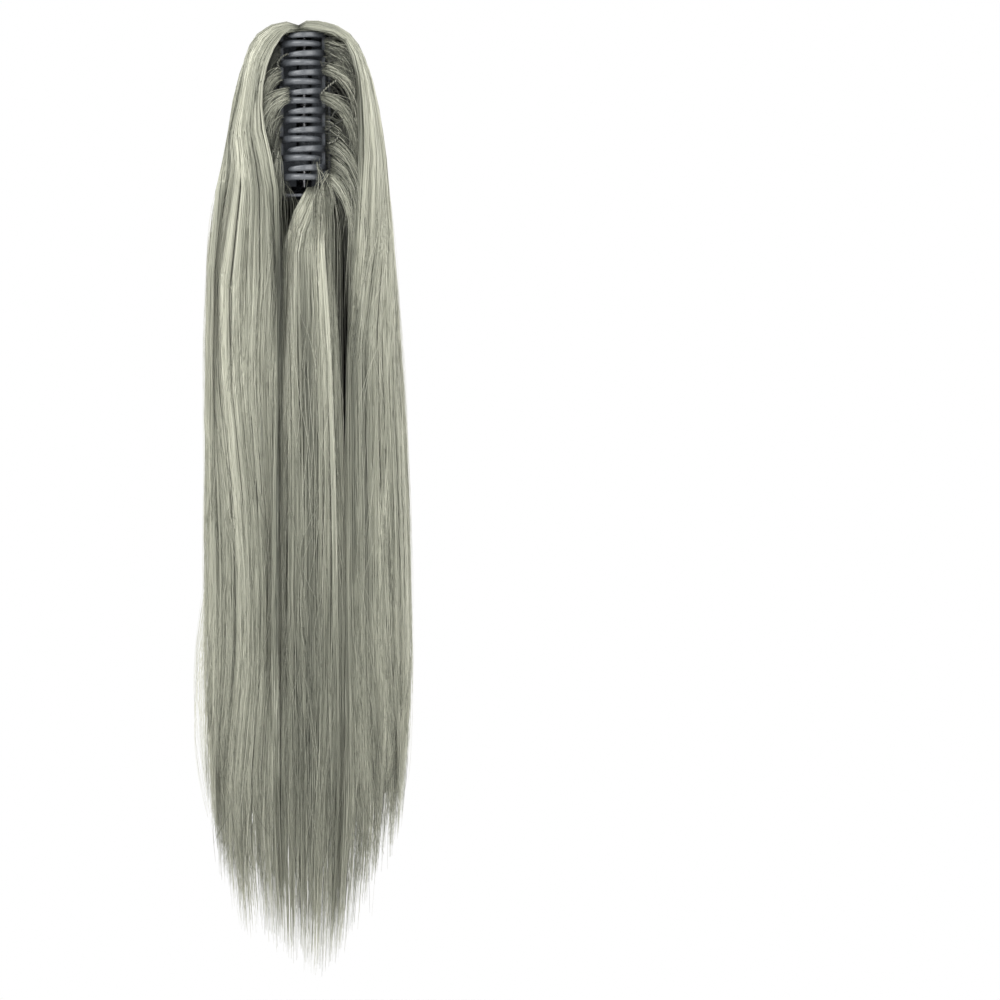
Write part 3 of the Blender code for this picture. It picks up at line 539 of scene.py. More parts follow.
class Flow:
    """A grid over the hair whose columns are the lines that strands follow from root to tip."""

    def __init__(self, rows, heights, trees=()):
        rows = list(rows)
        for z, width_kept, depth_kept in TIP_ROWS:
            row = rows[len(heights) - 1] * (width_kept, depth_kept, 1.0)
            row[:, 2] = z * MM
            rows.append(row)
        self.heights = np.array(list(heights) + [z * MM for z, _, _ in TIP_ROWS])
        count = len(rows)
        fine = np.arange(0.0, count - 1.0 + 1e-6, 1.0 / FINE_ROWS)
        grid = np.array(rows)
        low = np.minimum(fine.astype(int), count - 2)
        share = (fine - low)[:, None, None]
        grid = grid[low] * (1.0 - share) + grid[low + 1] * share
        for _ in range(FLOW_PASSES):
            ease(grid)
            ease(grid.swapaxes(0, 1))
        for tree in trees:
            self.clear(grid, tree)
        across = np.gradient(grid, axis=1)
        down = np.gradient(grid, axis=0)
        outward = unit(np.cross(across, down))
        axis = np.stack([np.zeros(grid.shape[:2]), np.full(grid.shape[:2], 10.0 * MM),
                         np.minimum(grid[:, :, 2], 25.0 * MM)], 2)
        facing = np.sign(((grid - axis) * outward).sum(2, keepdims=True))
        self.points = grid
        self.outward = outward * np.where(facing == 0.0, 1.0, facing)
        self.width = np.linalg.norm(np.diff(grid[len(grid) * 2 // 3], axis=0), axis=1).sum()

    def clear(self, grid, tree):
        """Bring points that lie just inside a solid out to its front."""
        for row in grid[:CLEAR_ROWS]:
            for point in row:
                hit = cast(tree, (point[0], -OUTSIDE, point[2]), (0.0, 1.0, 0.0))
                if hit is not None and 0.0 < point[1] - hit.y < 6.0 * MM:
                    point[1] = hit.y

    def row_at(self, z):
        """Row number at a height, where the rows are level."""
        return np.interp(-z, -self.heights, np.arange(len(self.heights)))

    def at(self, share, row):
        """Points and outward directions at arrays of shares across and row numbers."""
        row = np.clip(row * FINE_ROWS, 0.0, len(self.points) - 1.001)
        column = np.clip(share, 0.0, 1.0) * (COLUMNS - 1.001)
        low_row = row.astype(int)
        low_column = column.astype(int)
        down = (row - low_row)[..., None]
        over = (column - low_column)[..., None]
        found = []
        for grid in (self.points, self.outward):
            upper = grid[low_row, low_column] * (1 - over) + grid[low_row, low_column + 1] * over
            lower = grid[low_row + 1, low_column] * (1 - over) + grid[low_row + 1, low_column + 1] * over
            found.append(upper * (1 - down) + lower * down)
        point, outward = found
        return point, unit(outward)


def front_flow(nodes, edges, open_depth):
    """Flow over the front of some hair nodes between an inner and an outer edge."""
    trees = [tree_of(name) for name in nodes]
    spread = 1.0 - np.linspace(0.0, 1.0, 80) ** 2
    rows = []
    for inner_x, inner_z, outer_x, outer_z in edges:
        places = []
        for share in spread:
            x = (inner_x + (outer_x - inner_x) * share) * MM
            z = (inner_z + (outer_z - inner_z) * share) * MM
            hits = [cast(tree, (x, -OUTSIDE, z), (0.0, 1.0, 0.0)) for tree in trees]
            met = [hit.y for hit in hits if hit is not None and hit.y < 4.0 * MM]
            depth = min(met) if met else open_depth
            if places and z > MOUTH_FOOT:
                depth = min(depth, min(place[1] for place in places) + 1.0 * MM)
            places.append((x, depth, z))
        rows.append(even_out(np.array(places[::-1])))
    return Flow(rows, [max(row[:, 2]) for row in rows], trees)


def side_points(trees, side, z):
    """Outermost points just in front of the middle, where the curtains meet the outer fall."""
    found = []
    for y in SIDE_STEPS:
        hits = [cast(tree, (side * OUTSIDE, y * MM, z), (-side, 0.0, 0.0)) for tree in trees]
        hits = [hit for hit in hits if hit is not None and hit.x * side > 0.0]
        if hits:
            found.append(max(hits, key=lambda hit: hit.x * side))
    return found


def fall_flow():
    """Flow over the crown and down the outer fall, from the left side round the back to the right."""
    crown = tree_of("crown")
    tree = tree_of("outer_fall")
    trees = [tree, tree_of("left_curtain"), tree_of("right_curtain")]
    rows = []
    for z in FALL_HEIGHTS:
        z = z * MM
        edges = [cast(tree, (side * OUTSIDE, FALL_MIDDLE, z), (-side, 0.0, 0.0)) for side in (-1, 1)]
        centre = Vector(((edges[0].x + edges[1].x) / 2.0, FALL_MIDDLE, z))
        hits = side_points(trees, -1.0, z)
        for turn in np.linspace(math.pi, 0.0, 121):
            out = Vector((math.cos(turn), math.sin(turn), 0.0))
            hit = cast(tree, centre + out * OUTSIDE, -out)
            if hit is not None:
                hits.append(hit)
        hits += side_points(trees, 1.0, z)[::-1]
        rows.append(even_out(np.array(hits)))
    shoulder = rows[0]
    root = np.stack([shoulder[:, 0] * 0.07 + PARTING,
                     np.clip(shoulder[:, 1] * 0.55 - 2.0 * MM, -13.0 * MM, 22.0 * MM)], 1)
    lead = []
    for share in CROWN_SHARES:
        flat = root * (1.0 - share) + shoulder[:, :2] * share
        lead.append(np.concatenate([flat, dome_heights(crown, flat)[:, None]], 1))
    heights = [z * MM for z in FALL_HEIGHTS]
    steps = [heights[0] + (len(lead) - index) * MM for index in range(len(lead))]
    flow = Flow(lead + rows, steps + heights)
    draw_in(flow.points)
    return flow


def draw_in(points):
    """Bring the outer hair's left side and top a little inside its solid."""
    high = points[..., 2].copy()
    left = np.interp(-points[..., 0], (12.0 * MM, 26.0 * MM), (0.0, 1.0))
    points[..., 0] += left * look_up(LEFT_DRAW, high)
    points[..., 2] -= look_up(TOP_DRAW, high)


def dome_heights(tree, places):
    """Height of the crown's top under each place, level with its rim outside it."""
    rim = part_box("crown")[0].z
    hits = [cast(tree, (x, y, OVERHEAD), (0.0, 0.0, -1.0)) for x, y in places]
    return np.array([rim if hit is None else hit.z for hit in hits])


def tubes(name, paths, radii, tones, material, sides=3):
    """One joined mesh of closed thin tubes along paths, with each point's tone."""
    count, points = paths.shape[:2]
    along = unit(np.gradient(paths, axis=1))
    aside = unit(np.cross(along, np.array((0.13, 1.0, 0.07))))
    facing = np.cross(aside, along)
    turns = np.arange(sides) * (2.0 * np.pi / sides) + np.pi / 6.0
    ring = (aside[:, :, None] * np.cos(turns)[:, None] + facing[:, :, None] * np.sin(turns)[:, None])
    places = paths[:, :, None] + ring * radii[:, :, None, None]
    first = (np.arange(count)[:, None, None] * points + np.arange(points - 1)[None, :, None]) * sides
    corner = np.arange(sides)[None, None, :]
    after = (corner + 1) % sides
    quads = np.stack([first + corner, first + after, first + sides + after, first + sides + corner], -1)
    starts = np.arange(count)[:, None] * points * sides
    ends = starts + (points - 1) * sides
    caps = np.concatenate([starts + np.arange(sides)[::-1], ends + np.arange(sides)])
    mesh = bpy.data.meshes.new(name)
    mesh.vertices.add(places.size // 3)
    mesh.vertices.foreach_set("co", places.astype(np.float32).ravel())
    corners = np.concatenate([quads.ravel(), caps.ravel()]).astype(np.int32)
    totals = np.concatenate([np.full(quads.size // 4, 4), np.full(len(caps), sides)]).astype(np.int32)
    mesh.loops.add(len(corners))
    mesh.loops.foreach_set("vertex_index", corners)
    mesh.polygons.add(len(totals))
    mesh.polygons.foreach_set("loop_start", np.concatenate([[0], np.cumsum(totals)[:-1]]).astype(np.int32))
    mesh.polygons.foreach_set("loop_total", totals)
    mesh.update(calc_edges=True)
    mesh.shade_smooth()
    tone = mesh.attributes.new("tone", "FLOAT", "POINT")
    tone.data.foreach_set("value", np.repeat(tones.ravel(), sides).astype(np.float32))
    mesh.materials.append(material)
    return add_object(name, mesh)


class Clumps:
    """Uneven groups of strands side by side, each with its own middle, depth, tone and sway."""

    def __init__(self, chance, shares, size):
        widths = size * chance.uniform(0.45, 1.7, int(2.0 / size) + 4)
        edges = np.cumsum(widths) - size
        self.which = np.searchsorted(edges, shares)
        inside = np.minimum(self.which, len(edges) - 1)
        self.middle = edges[inside] - widths[inside] / 2.0
        self.count = len(widths) + 1
        self.chance = chance

    def value(self, spread):
        """A random value for each group, given to its strands."""
        return self.chance.normal(0.0, spread, self.count)[self.which]


def band_tones(bands, shares, heights):
    """Sum of soft bands of paler or darker hair, each by share across, width, amount and heights; some are
    painted highlight or shade.
    """
    total = np.zeros(heights.shape)
    for middle, width, amount, low, high in bands:
        across = np.exp(-((shares - middle) / width) ** 2)
        above = np.clip((heights - low * MM) / BAND_FADE, 0.0, 1.0)
        below = np.clip((high * MM - heights) / BAND_FADE, 0.0, 1.0)
        total += amount * across * above * below
    return total


def side_of(flow, shares):
    """Where strands hang, from -1 at the left edge of the hair to 1 at the right edge."""
    lateral = flow.at(shares, np.full(len(shares), flow.row_at(LAST_SOLID_ROW)))[0][:, 0]
    box_low, box_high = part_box("outer_fall")
    return np.clip(lateral / np.where(lateral > 0, box_high.x, -box_low.x), -1.0, 1.0)


def end_heights(chance, side, clumps):
    """Where strands end: most above the closed edge of the hair, a few out in the wisps."""
    closed = look_up(CLOSED_ENDS, side) + clumps.value(4.0 * MM)
    wisps = look_up(WISP_ENDS, side) + clumps.value(3.0 * MM)
    rank = chance.uniform(0.0, 1.0, len(side))
    far = wisps + (closed - wisps) * (rank / WISP_SHARE) ** 0.75
    near = closed + SHORTEST * np.maximum((rank - WISP_SHARE) / (1.0 - WISP_SHARE), 0.0) ** 1.2
    return np.maximum(np.where(rank < WISP_SHARE, far, near), cad_box[0].z)


def grow(name, flow, span, count, seed, material, lead_rows, bands, radius, shade=0.0, level=0.5, sink=2.8,
         root_dark=0.0, lead_points=8):
    """A piece of hanging hair between two shares of a flow.

    Strands start on the lead rows, some at the parting and the rest further down, and then hang
    to their own ends. They draw together in small groups within large ones.
    """
    chance = np.random.default_rng(seed)
    shares = np.sort(chance.uniform(span[0], span[1], count))
    big = Clumps(chance, shares, BIG_CLUMP / flow.width)
    small = Clumps(chance, shares, SMALL_CLUMP / flow.width)
    ends = end_heights(chance, side_of(flow, shares), small)
    depths = (STRAND_DEPTH + STRAND_RANGE * chance.uniform(0.0, 1.0, count) ** 0.7) * MM
    starts = np.where(chance.uniform(0.0, 1.0, count) < level, 0.0, chance.uniform(0.0, 1.0, count) ** 1.5)
    starts *= lead_rows * START_REACH * ((shares > START_SHARES[0]) & (shares < START_SHARES[1]))
    lead = np.linspace(0.0, 1.0, lead_points)[:-1] ** 1.15
    lead_part = between(starts, lead_rows, lead[None, :])
    top = flow.heights[lead_rows]
    hang_z = top + (ends - top)[:, None] * np.linspace(0.0, 1.0, 8)[None, :]
    rows = np.concatenate([lead_part, flow.row_at(hang_z)], 1)
    run = np.linspace(0.0, 1.0, rows.shape[1])[None, :] ** 1.2
    fade_in = np.clip(run * 5.0, 0.0, 1.0)
    pull_small = np.interp(run, (0.0, 0.25, 0.8, 1.0), (0.22, 0.30, 0.28, 0.32))
    pull_big = np.interp(run, (0.0, 0.3, 0.8, 1.0), (0.02, 0.07, 0.07, 0.10))
    across = shares[:, None] + (small.middle - shares)[:, None] * pull_small
    across += (big.middle - shares)[:, None] * pull_big
    wave = chance.normal(0.0, 0.45 * MM, count) / flow.width
    across += wave[:, None] * np.sin(chance.uniform(0.0, 6.28, count)[:, None] + run * 11.0) * fade_in
    for clumps, size, turns in ((small, 0.9 * MM, 6.0), (big, 1.4 * MM, 4.0)):
        drift = clumps.value(size) / flow.width
        across += drift[:, None] * np.sin(clumps.value(3.0)[:, None] + run * turns) * fade_in
    crossing = chance.uniform(0.0, 1.0, count) < 0.12
    cross = np.where(crossing, chance.normal(0.0, 6.0 * MM, count), 0.0) / flow.width
    place, outward = flow.at(across + cross[:, None] * run, rows)
    lift = depths[:, None] + (small.value(0.32 * MM) + big.value(0.35 * MM))[:, None] * fade_in
    lift = lift + chance.normal(0.0, 0.35 * MM, count)[:, None] * np.sin(run * 8.0 + shares[:, None] * 90.0)
    lift -= sink * MM * np.clip(1.0 - run * 26.0, 0.0, 1.0)
    paths = place + outward * lift[..., None]
    heights = paths[:, :, 2]
    tones = 0.5 + shade + small.value(0.070) + big.value(0.05) + chance.normal(0.0, 0.07, count)
    # Deeper strands are painted darker, 0.07 of tone per millimetre of lift, as the shade between the strand
    # groups.
    tones = tones[:, None] + 0.07 * lift / MM + look_up(PALENESS, heights)
    tones += band_tones(bands, shares[:, None], heights)
    tones += np.interp(run, (0.0, 0.06, 0.88, 1.0), (-root_dark, 0.0, 0.0, 0.36))
    taper = np.interp(run, (0.0, 0.06, 0.88, 1.0), (0.75, 1.0, 0.8, 0.25))
    radii = radius * chance.uniform(0.7, 1.3, count)[:, None] * taper
    return tubes(name, paths, radii, tones, material)


def deselect():
    """Leave nothing selected, as the imported frame is."""
    bpy.ops.object.select_all(action="DESELECT")


def make_active(piece):
    """Select one object alone."""
    deselect()
    piece.select_set(True)
    bpy.context.view_layer.objects.active = piece


def lock_body(name, node, shrink, material):
    """The closed locks under the strands: a merged, drawn-in and smoothed copy of a hair solid."""
    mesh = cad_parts[node].data.copy()
    mesh.materials.clear()
    mesh.materials.append(material)
    piece = add_object(name, mesh)
    make_active(piece)
    bpy.ops.object.mode_set(mode="EDIT")
    bpy.ops.mesh.select_all(action="SELECT")
    bpy.ops.mesh.remove_doubles(threshold=0.00001)
    bpy.ops.mesh.tris_convert_to_quads()
    bpy.ops.transform.shrink_fatten(value=-shrink)
    bpy.ops.object.mode_set(mode="OBJECT")
    for vertex in mesh.vertices:
        above = min(max((vertex.co.z - CROWN_FOOT) / CROWN_RISE, 0.0), 1.0)
        vertex.co.x *= 1.0 - CROWN_NARROWING * above
        vertex.co.z -= CROWN_SINK * above
        below = LAST_SOLID_ROW - vertex.co.z
        if below > 0.0:
            narrow = 1.0 - END_NARROWING * below
            end_z = LAST_SOLID_ROW - below * END_KEPT
            vertex.co = Vector((vertex.co.x * narrow, vertex.co.y * narrow, end_z))
    places = np.array([vertex.co for vertex in mesh.vertices])
    draw_in(places)
    mesh.vertices.foreach_set("co", places.astype(np.float32).ravel())
    mesh.update()
    mesh.shade_smooth()
    return piece


def settle(piece, body):
    """Give a finished piece its body."""
    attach(piece, body)
    return piece


class HAIRPIECE_OT_outer_fall(bpy.types.Operator):
    """Grow the outer hair round the back and both sides"""
    bl_idname = "hairpiece.outer_fall"
    bl_label = "Outer fall"

    def execute(self, context):
        hair = context.scene.hairpiece_hair
        lock = lock_material("fall_lock", hair, 0.85)
        body = settle(lock_body("fall_locks", "outer_fall", LOCK_DEPTH, lock), "root")
        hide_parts("outer_fall")
        flow = fall_flow()
        material = hair_material("fall_strand", hair)
        thirds = (("fall_strands_left", 0.0, 0.34), ("fall_strands_back", 0.33, 0.67),
                  ("fall_strands_right", 0.66, 1.0))
        for seed, (name, low, high) in enumerate(thirds):
            piece = grow(name, flow, (low, high), hair.fall_count, 20 + seed, material, FALL_LEAD,
                         FALL_BANDS, hair.radius * 1.15, -0.12, lead_points=11)
            settle(piece, "root")
        return {"FINISHED"}


class HAIRPIECE_OT_curtains(bpy.types.Operator):
    """Grow the front hair on both sides of the clip"""
    bl_idname = "hairpiece.curtains"
    bl_label = "Curtains"

    def execute(self, context):
        hair = context.scene.hairpiece_hair
        lock = lock_material("curtain_lock", hair)
        material = hair_material("curtain_strand", hair)
        sides = (("left", LEFT_EDGES, LEFT_BANDS, hair.left_count, 41),
                 ("right", RIGHT_EDGES, RIGHT_BANDS, hair.right_count, 42))
        for word, edges, bands, count, seed in sides:
            node = f"{word}_curtain"
            body = settle(lock_body(f"{word}_curtain_locks", node, LOCK_DEPTH, lock), "root")
            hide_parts(node)
            flow = front_flow(("crown", node, "outer_fall"), edges, CURTAIN_DEPTH)
            piece = grow(f"{word}_curtain_strands", flow, (0.0, 1.0), count, seed, material, CURTAIN_LEAD,
                         bands, hair.radius, root_dark=0.16, lead_points=10)
            settle(piece, "root")
        return {"FINISHED"}


class HAIRPIECE_OT_tuft(bpy.types.Operator):
    """Grow the hair that hangs between the curtains"""
    bl_idname = "hairpiece.tuft"
    bl_label = "Centre tuft"

    def execute(self, context):
        hair = context.scene.hairpiece_hair
        # The tuft's locks are painted darker still, as the shade in the gaps beside the tuft.
        lock = lock_material("tuft_lock", hair, 0.55)
        body = settle(lock_body("tuft_locks", "centre_tuft", LOCK_DEPTH, lock), "root")
        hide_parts("centre_tuft")
        flow = front_flow(("centre_tuft",), TUFT_EDGES, TUFT_DEPTH)
        flow.points[:4, :, 1] += np.linspace(1.6, 0.0, 4)[:, None] * MM
        material = hair_material("tuft_strand", hair)
        piece = grow("tuft_strands", flow, (0.0, 1.0), hair.tuft_count, 61, material, TUFT_LEAD, TUFT_BANDS,
                     hair.radius, -0.05, level=0.0, sink=0.5, root_dark=0.25, lead_points=5)
        settle(piece, "root")
        settle(bundles("tuft_wisps", TUFT_WISPS, 62, material, hair.radius), "root")
        return {"FINISHED"}


def bundle_paths(chance, bundle):
    """Strands of one bundle: out from its root, over into a fan, and then down."""
    count = bundle.count
    spread = chance.uniform(-1.0, 1.0, count)
    root = np.array(bundle.root) * MM + chance.normal(0.0, 1.0, (count, 3)) * (0.7 * MM, 0.5 * MM, 0.9 * MM)
    root[:, 2] += spread * bundle.root_spread * MM
    share = np.clip((1.0 - spread) / 2.0 + chance.normal(0.0, 0.13, count), -0.04, 1.1)[:, None]
    high, low = np.array(bundle.high_end) * MM, np.array(bundle.low_end) * MM
    end = high + (low - high) * share + chance.normal(0.0, 1.0, (count, 3)) * (1.3 * MM, 0.8 * MM, 1.5 * MM)
    reach = end - root
    first = root + reach * (0.42, 0.55, 0.06) + np.array((0.0, -0.9 * MM, 0.0))
    first += chance.normal(0.0, 0.9 * MM, (count, 3)) * (1.0, 0.5, 1.0)
    second = end - reach * (0.10, 0.10, 0.48)
    paths = []
    for turn in np.linspace(0.0, 1.0, 9):
        paths.append(root * (1 - turn) ** 3 + first * 3 * turn * (1 - turn) ** 2
                     + second * 3 * turn ** 2 * (1 - turn) + end * turn ** 3)
    drift = chance.normal(0.0, 1.6 * MM, count)
    length = bundle.tail * MM * chance.uniform(0.2, 1.0, count)
    for step in (0.35, 0.7, 1.0):
        paths.append(end + np.stack([drift * step, np.full(count, 3.0 * MM * step), -length * step], 1))
    paths = np.array(paths).transpose(1, 0, 2)
    turns = np.linspace(0.0, 1.0, paths.shape[1])[None, :] * chance.uniform(9.0, 22.0, count)[:, None]
    phase = chance.uniform(0.0, 6.28, (count, 3))
    size = bundle.curl * MM * chance.uniform(0.3, 1.0, count)[:, None] * np.sin(
        np.linspace(0.0, math.pi, paths.shape[1]))[None, :]
    for axis, share in enumerate((0.8, 0.35, 0.8)):
        paths[:, :, axis] += np.sin(turns + phase[:, axis:axis + 1]) * size * share
    return paths


def bundles(name, table, seed, material, radius):
    """One piece of several bundles of strands, with each bundle's own tone."""
    chance = np.random.default_rng(seed)
    paths = [bundle_paths(chance, bundle) for bundle in table]
    # Each bundle is painted 0.10 darker than its own tone, as the shade in and under the clip's mouth; the
    # roots, under the jaws' edges, are painted darker still as shade, and the tails are darker too.
    tones = [np.full(len(made), bundle.tone - 0.10) + chance.normal(0.0, 0.23, len(made))
             for made, bundle in zip(paths, table)]
    paths = np.concatenate(paths)
    run = np.linspace(0.0, 1.0, paths.shape[1])
    tones = np.concatenate(tones)[:, None] + np.interp(run, (0.0, 0.2, 0.6, 1.0), (-0.22, 0.04, 0.0, -0.15))
    radii = radius * 0.8 * chance.uniform(0.6, 1.3, len(paths))[:, None] * np.interp(
        run, (0.0, 0.1, 0.75, 1.0), (0.8, 1.0, 0.8, 0.2))
    return tubes(name, paths, radii, tones, material)


def tooth_bar(name, row, material):
    """A smooth, slightly fuller bar over a tooth, bent along the clip's oval, at height zero."""
    bpy.ops.mesh.primitive_cylinder_add(vertices=20, radius=1.0, depth=1.0, end_fill_type="TRIFAN")
    bar = bpy.context.active_object
    bar.name = name
    bpy.ops.object.mode_set(mode="EDIT")
    bpy.ops.mesh.select_mode(type="EDGE")
    bpy.ops.mesh.select_all(action="DESELECT")
    bpy.ops.object.mode_set(mode="OBJECT")
    for edge in bar.data.edges:
        first, second = (bar.data.vertices[index].co for index in edge.vertices)
        edge.select = abs(first.z - second.z) > 0.5
    bpy.ops.object.mode_set(mode="EDIT")
    bpy.ops.mesh.subdivide(number_cuts=15)
    bpy.ops.object.mode_set(mode="OBJECT")
    tip_turn = -math.pi + math.acos(row.tip_x / BITE_HALF_WIDTH)
    for vertex in bar.data.vertices:
        share = vertex.co.z + 0.5
        turn = TOOTH_ROOT_TURN + (tip_turn - TOOTH_ROOT_TURN) * (share * 1.03)
        across = math.cos(turn), math.sin(turn)
        out = Vector((across[0] / BITE_HALF_WIDTH, across[1] / BITE_HALF_DEPTH, 0.0)).normalized()
        full = float(np.interp(share, (0.0, 0.4, 0.8, 0.93, 0.98, 1.0), (1.08, 1.0, 0.86, 0.72, 0.5, 0.22)))
        thick = vertex.co.x * TOOTH_HALF_THICK * full
        tall = vertex.co.y * TOOTH_HALF_TALL * full
        if vertex.co.x > 0.0:
            hollow = row.groove * math.exp(-(vertex.co.y / 0.5) ** 2)
            thick -= hollow * float(np.interp(share, (0.12, 0.25, 0.75, 0.86), (0.0, 1.0, 1.0, 0.0))) * MM
        place = Vector((across[0] * BITE_HALF_WIDTH, across[1] * BITE_HALF_DEPTH, tall)) + out * thick
        place.z += row.slope * place.x
        place.x *= row.side
        vertex.co = place
    bar.data.materials.append(material)
    return bar


def row_of_teeth(row, material):
    """All the bars of one jaw as one piece."""
    deselect()
    name = f"teeth_{row.word}"
    bar = tooth_bar(name, row, material)
    copies = [bar]
    for index in range(1, TOOTH_COUNT):
        copies.append(add_object(f"{name}_{index}", bar.data.copy()))
    for index, copy in enumerate(copies):
        for vertex in copy.data.vertices:
            vertex.co.z += row.top - index * TOOTH_PITCH
        copy.select_set(True)
    bpy.context.view_layer.objects.active = bar
    bpy.ops.object.join()
    bpy.ops.object.mode_set(mode="EDIT")
    bpy.ops.mesh.select_all(action="SELECT")
    bpy.ops.mesh.normals_make_consistent(inside=False)
    bpy.ops.object.mode_set(mode="OBJECT")
    bpy.ops.object.shade_smooth()
    return bar


def twisted_threads(name, routes, material):
    """Two-ply sewing threads along their routes, as one piece."""
    plies = []
    shades = []
    for tone, route in routes:
        points = np.array(route) * MM
        places = np.linspace(0.0, run_along(points)[-1], THREAD_POINTS)
        smooth = even_out(points, THREAD_POINTS)
        for _ in range(THREAD_PASSES):
            ease(smooth)
        along = unit(np.gradient(smooth, axis=0))
        aside = np.cross(along, (0.0, 1.0, 0.0))
        facing = np.cross(aside, along)
        for start in (0.0, math.pi):
            turn = (places * (2.0 * math.pi / THREAD_TWIST) + start)[:, None]
            plies.append(smooth + (aside * np.cos(turn) + facing * np.sin(turn)) * PLY_OFFSET)
            shades.append(tone if start == 0.0 else -0.1)
    paths = np.array(plies)
    radii = np.full(paths.shape[:2], PLY_RADIUS)
    tones = np.repeat(np.array(shades)[:, None], paths.shape[1], 1)
    return tubes(name, paths, radii, tones, material, 6)


def fine_hair(name, chance, paths, kind, material, radius, paleness=0.0):
    """One piece of fine hair of a kind along paths."""
    count = len(paths)
    run = np.linspace(0.0, 1.0, paths.shape[1])[None, :]
    tones = (kind.tone + chance.normal(0.0, kind.spread, count))[:, None] + np.interp(run, *kind.tone_run)
    radii = radius * kind.thickness * chance.uniform(0.7, kind.most, count)[:, None]
    return tubes(name, paths, radii * np.interp(run, *kind.taper), tones + paleness, material)


def loose_strands(name, flow, count, seed, material, radius, low, high):
    """Single hairs that lie across the others, and a few that stand off the edge."""
    chance = np.random.default_rng(seed)
    run = np.linspace(0.0, 1.0, 9)[None, :]
    share = chance.uniform(0.02, 0.98, count)
    lowest = look_up(WISP_ENDS, side_of(flow, share)) + chance.uniform(10.0, 70.0, count) * MM
    start_z = np.maximum(chance.uniform(low, high, count) * MM, lowest + 40.0 * MM)
    end_z = np.maximum(start_z - chance.uniform(40.0, 150.0, count) * MM, lowest)
    rows = flow.row_at(between(start_z, end_z, run))
    lean = chance.normal(0.0, 8.0 * MM, count) / flow.width
    bow = chance.normal(0.0, 3.5 * MM, count) / flow.width
    across = share[:, None] + lean[:, None] * run + bow[:, None] * np.sin(run * math.pi)
    place, outward = flow.at(across, rows)
    lift = (0.5 + chance.uniform(0.0, 0.8, count)[:, None] + np.sin(run * 3.0) * 0.4) * MM
    paths = place + outward * lift[..., None]
    return fine_hair(name, chance, paths, LOOSE_HAIR, material, radius, look_up(PALENESS, paths[:, :, 2]))


def edge_fan(name, flow, count, seed, material, radius):
    """The thin fan of hair that bows out beside the left edge and comes back in."""
    chance = np.random.default_rng(seed)
    run = np.linspace(0.0, 1.0, 12)[None, :]
    start_z = chance.uniform(-335.0, -280.0, count) * MM
    end_z = chance.uniform(-448.0, -385.0, count) * MM
    heights = between(start_z, end_z, run)
    place, outward = flow.at(np.full(heights.shape, 0.975), flow.row_at(heights))
    reach = chance.uniform(0.1, 1.0, count)[:, None] ** 0.8 * 8.5 * MM
    bow = reach * np.sin(math.pi * 0.93 * run ** 1.15)
    bow += 0.8 * MM * run * chance.normal(0.0, 1.0, count)[:, None]
    paths = place + outward * 0.3 * MM
    paths[:, :, 0] -= bow
    return fine_hair(name, chance, paths, FAN_HAIR, material, radius)


def stray_fans(name, flows, seed, material, radius):
    """Thin hair that stands off both sides and feathers the ends."""
    chance = np.random.default_rng(seed)
    run = np.linspace(0.0, 1.0, 8)[None, :]
    paths = []
    for flow, count in flows:
        share = 1.0 - chance.uniform(0.0, 0.10, count) ** 1.3
        lowest = look_up(CLOSED_ENDS, side_of(flow, share)) - chance.uniform(-50.0, 20.0, count) * MM
        start_z = np.maximum(chance.uniform(-390.0, -40.0, count) * MM, lowest + 50.0 * MM)
        end_z = np.maximum(start_z - chance.uniform(60.0, 170.0, count) * MM, lowest)
        heights = between(start_z, end_z, run)
        place, outward = flow.at(np.repeat(share[:, None], run.shape[1], 1), flow.row_at(heights))
        stand = chance.uniform(0.6, 3.2, count) * MM
        stand += np.where(chance.uniform(0.0, 1.0, count) < 0.25, 3.0 * MM, 0.0)
        sideways = np.sign(place[:, :, :1]) * np.array((1.0, 0.0, 0.0))
        out = (stand[:, None] * run ** 1.3 * np.cos(run * 1.2))[..., None]
        paths.append(place + sideways * out + outward * 0.4 * MM)
    return fine_hair(name, chance, np.concatenate(paths), STRAY_HAIR, material, radius)


def tip_hair(name, flows, seed, material, radius):
    """Short fine strands that fill the feathered ends."""
    chance = np.random.default_rng(seed)
    run = np.linspace(0.0, 1.0, 6)[None, :]
    paths = []
    for flow, count in flows:
        share = chance.uniform(0.0, 1.0, count)
        clumps = Clumps(chance, share, 3.0 * MM / flow.width)
        ends = end_heights(chance, side_of(flow, share), clumps)
        starts = ends + chance.uniform(90.0, 150.0, count) * MM
        heights = between(starts, ends, run)
        lean = (clumps.value(2.0 * MM) + chance.normal(0.0, 1.8 * MM, count)) / flow.width
        across = share[:, None] + lean[:, None] * run ** 1.5
        place, outward = flow.at(across, flow.row_at(heights))
        depth = (-3.0 + 3.6 * chance.uniform(0.0, 1.0, count))[:, None, None] * MM
        paths.append(place + outward * depth)
    return fine_hair(name, chance, np.concatenate(paths), TIP_HAIR, material, radius)


class HAIRPIECE_OT_crown(bpy.types.Operator):
    """Close the crown under the strands that pass over it"""
    bl_idname = "hairpiece.crown"
    bl_label = "Crown"

    def execute(self, context):
        hair = context.scene.hairpiece_hair
        material = lock_material("crown_lock", hair, 1.25, (14.0, 800.0, 260.0))
        body = settle(lock_body("crown_locks", "crown", CROWN_LOCK_DEPTH, material), "root")
        for vertex in body.data.vertices:
            if vertex.co.z > PARTING_TOP:
                near = math.exp(-((vertex.co.x - PARTING) / PARTING_WIDTH) ** 2)
                vertex.co.z -= PARTING_DIP * near
        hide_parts("crown")
        return {"FINISHED"}


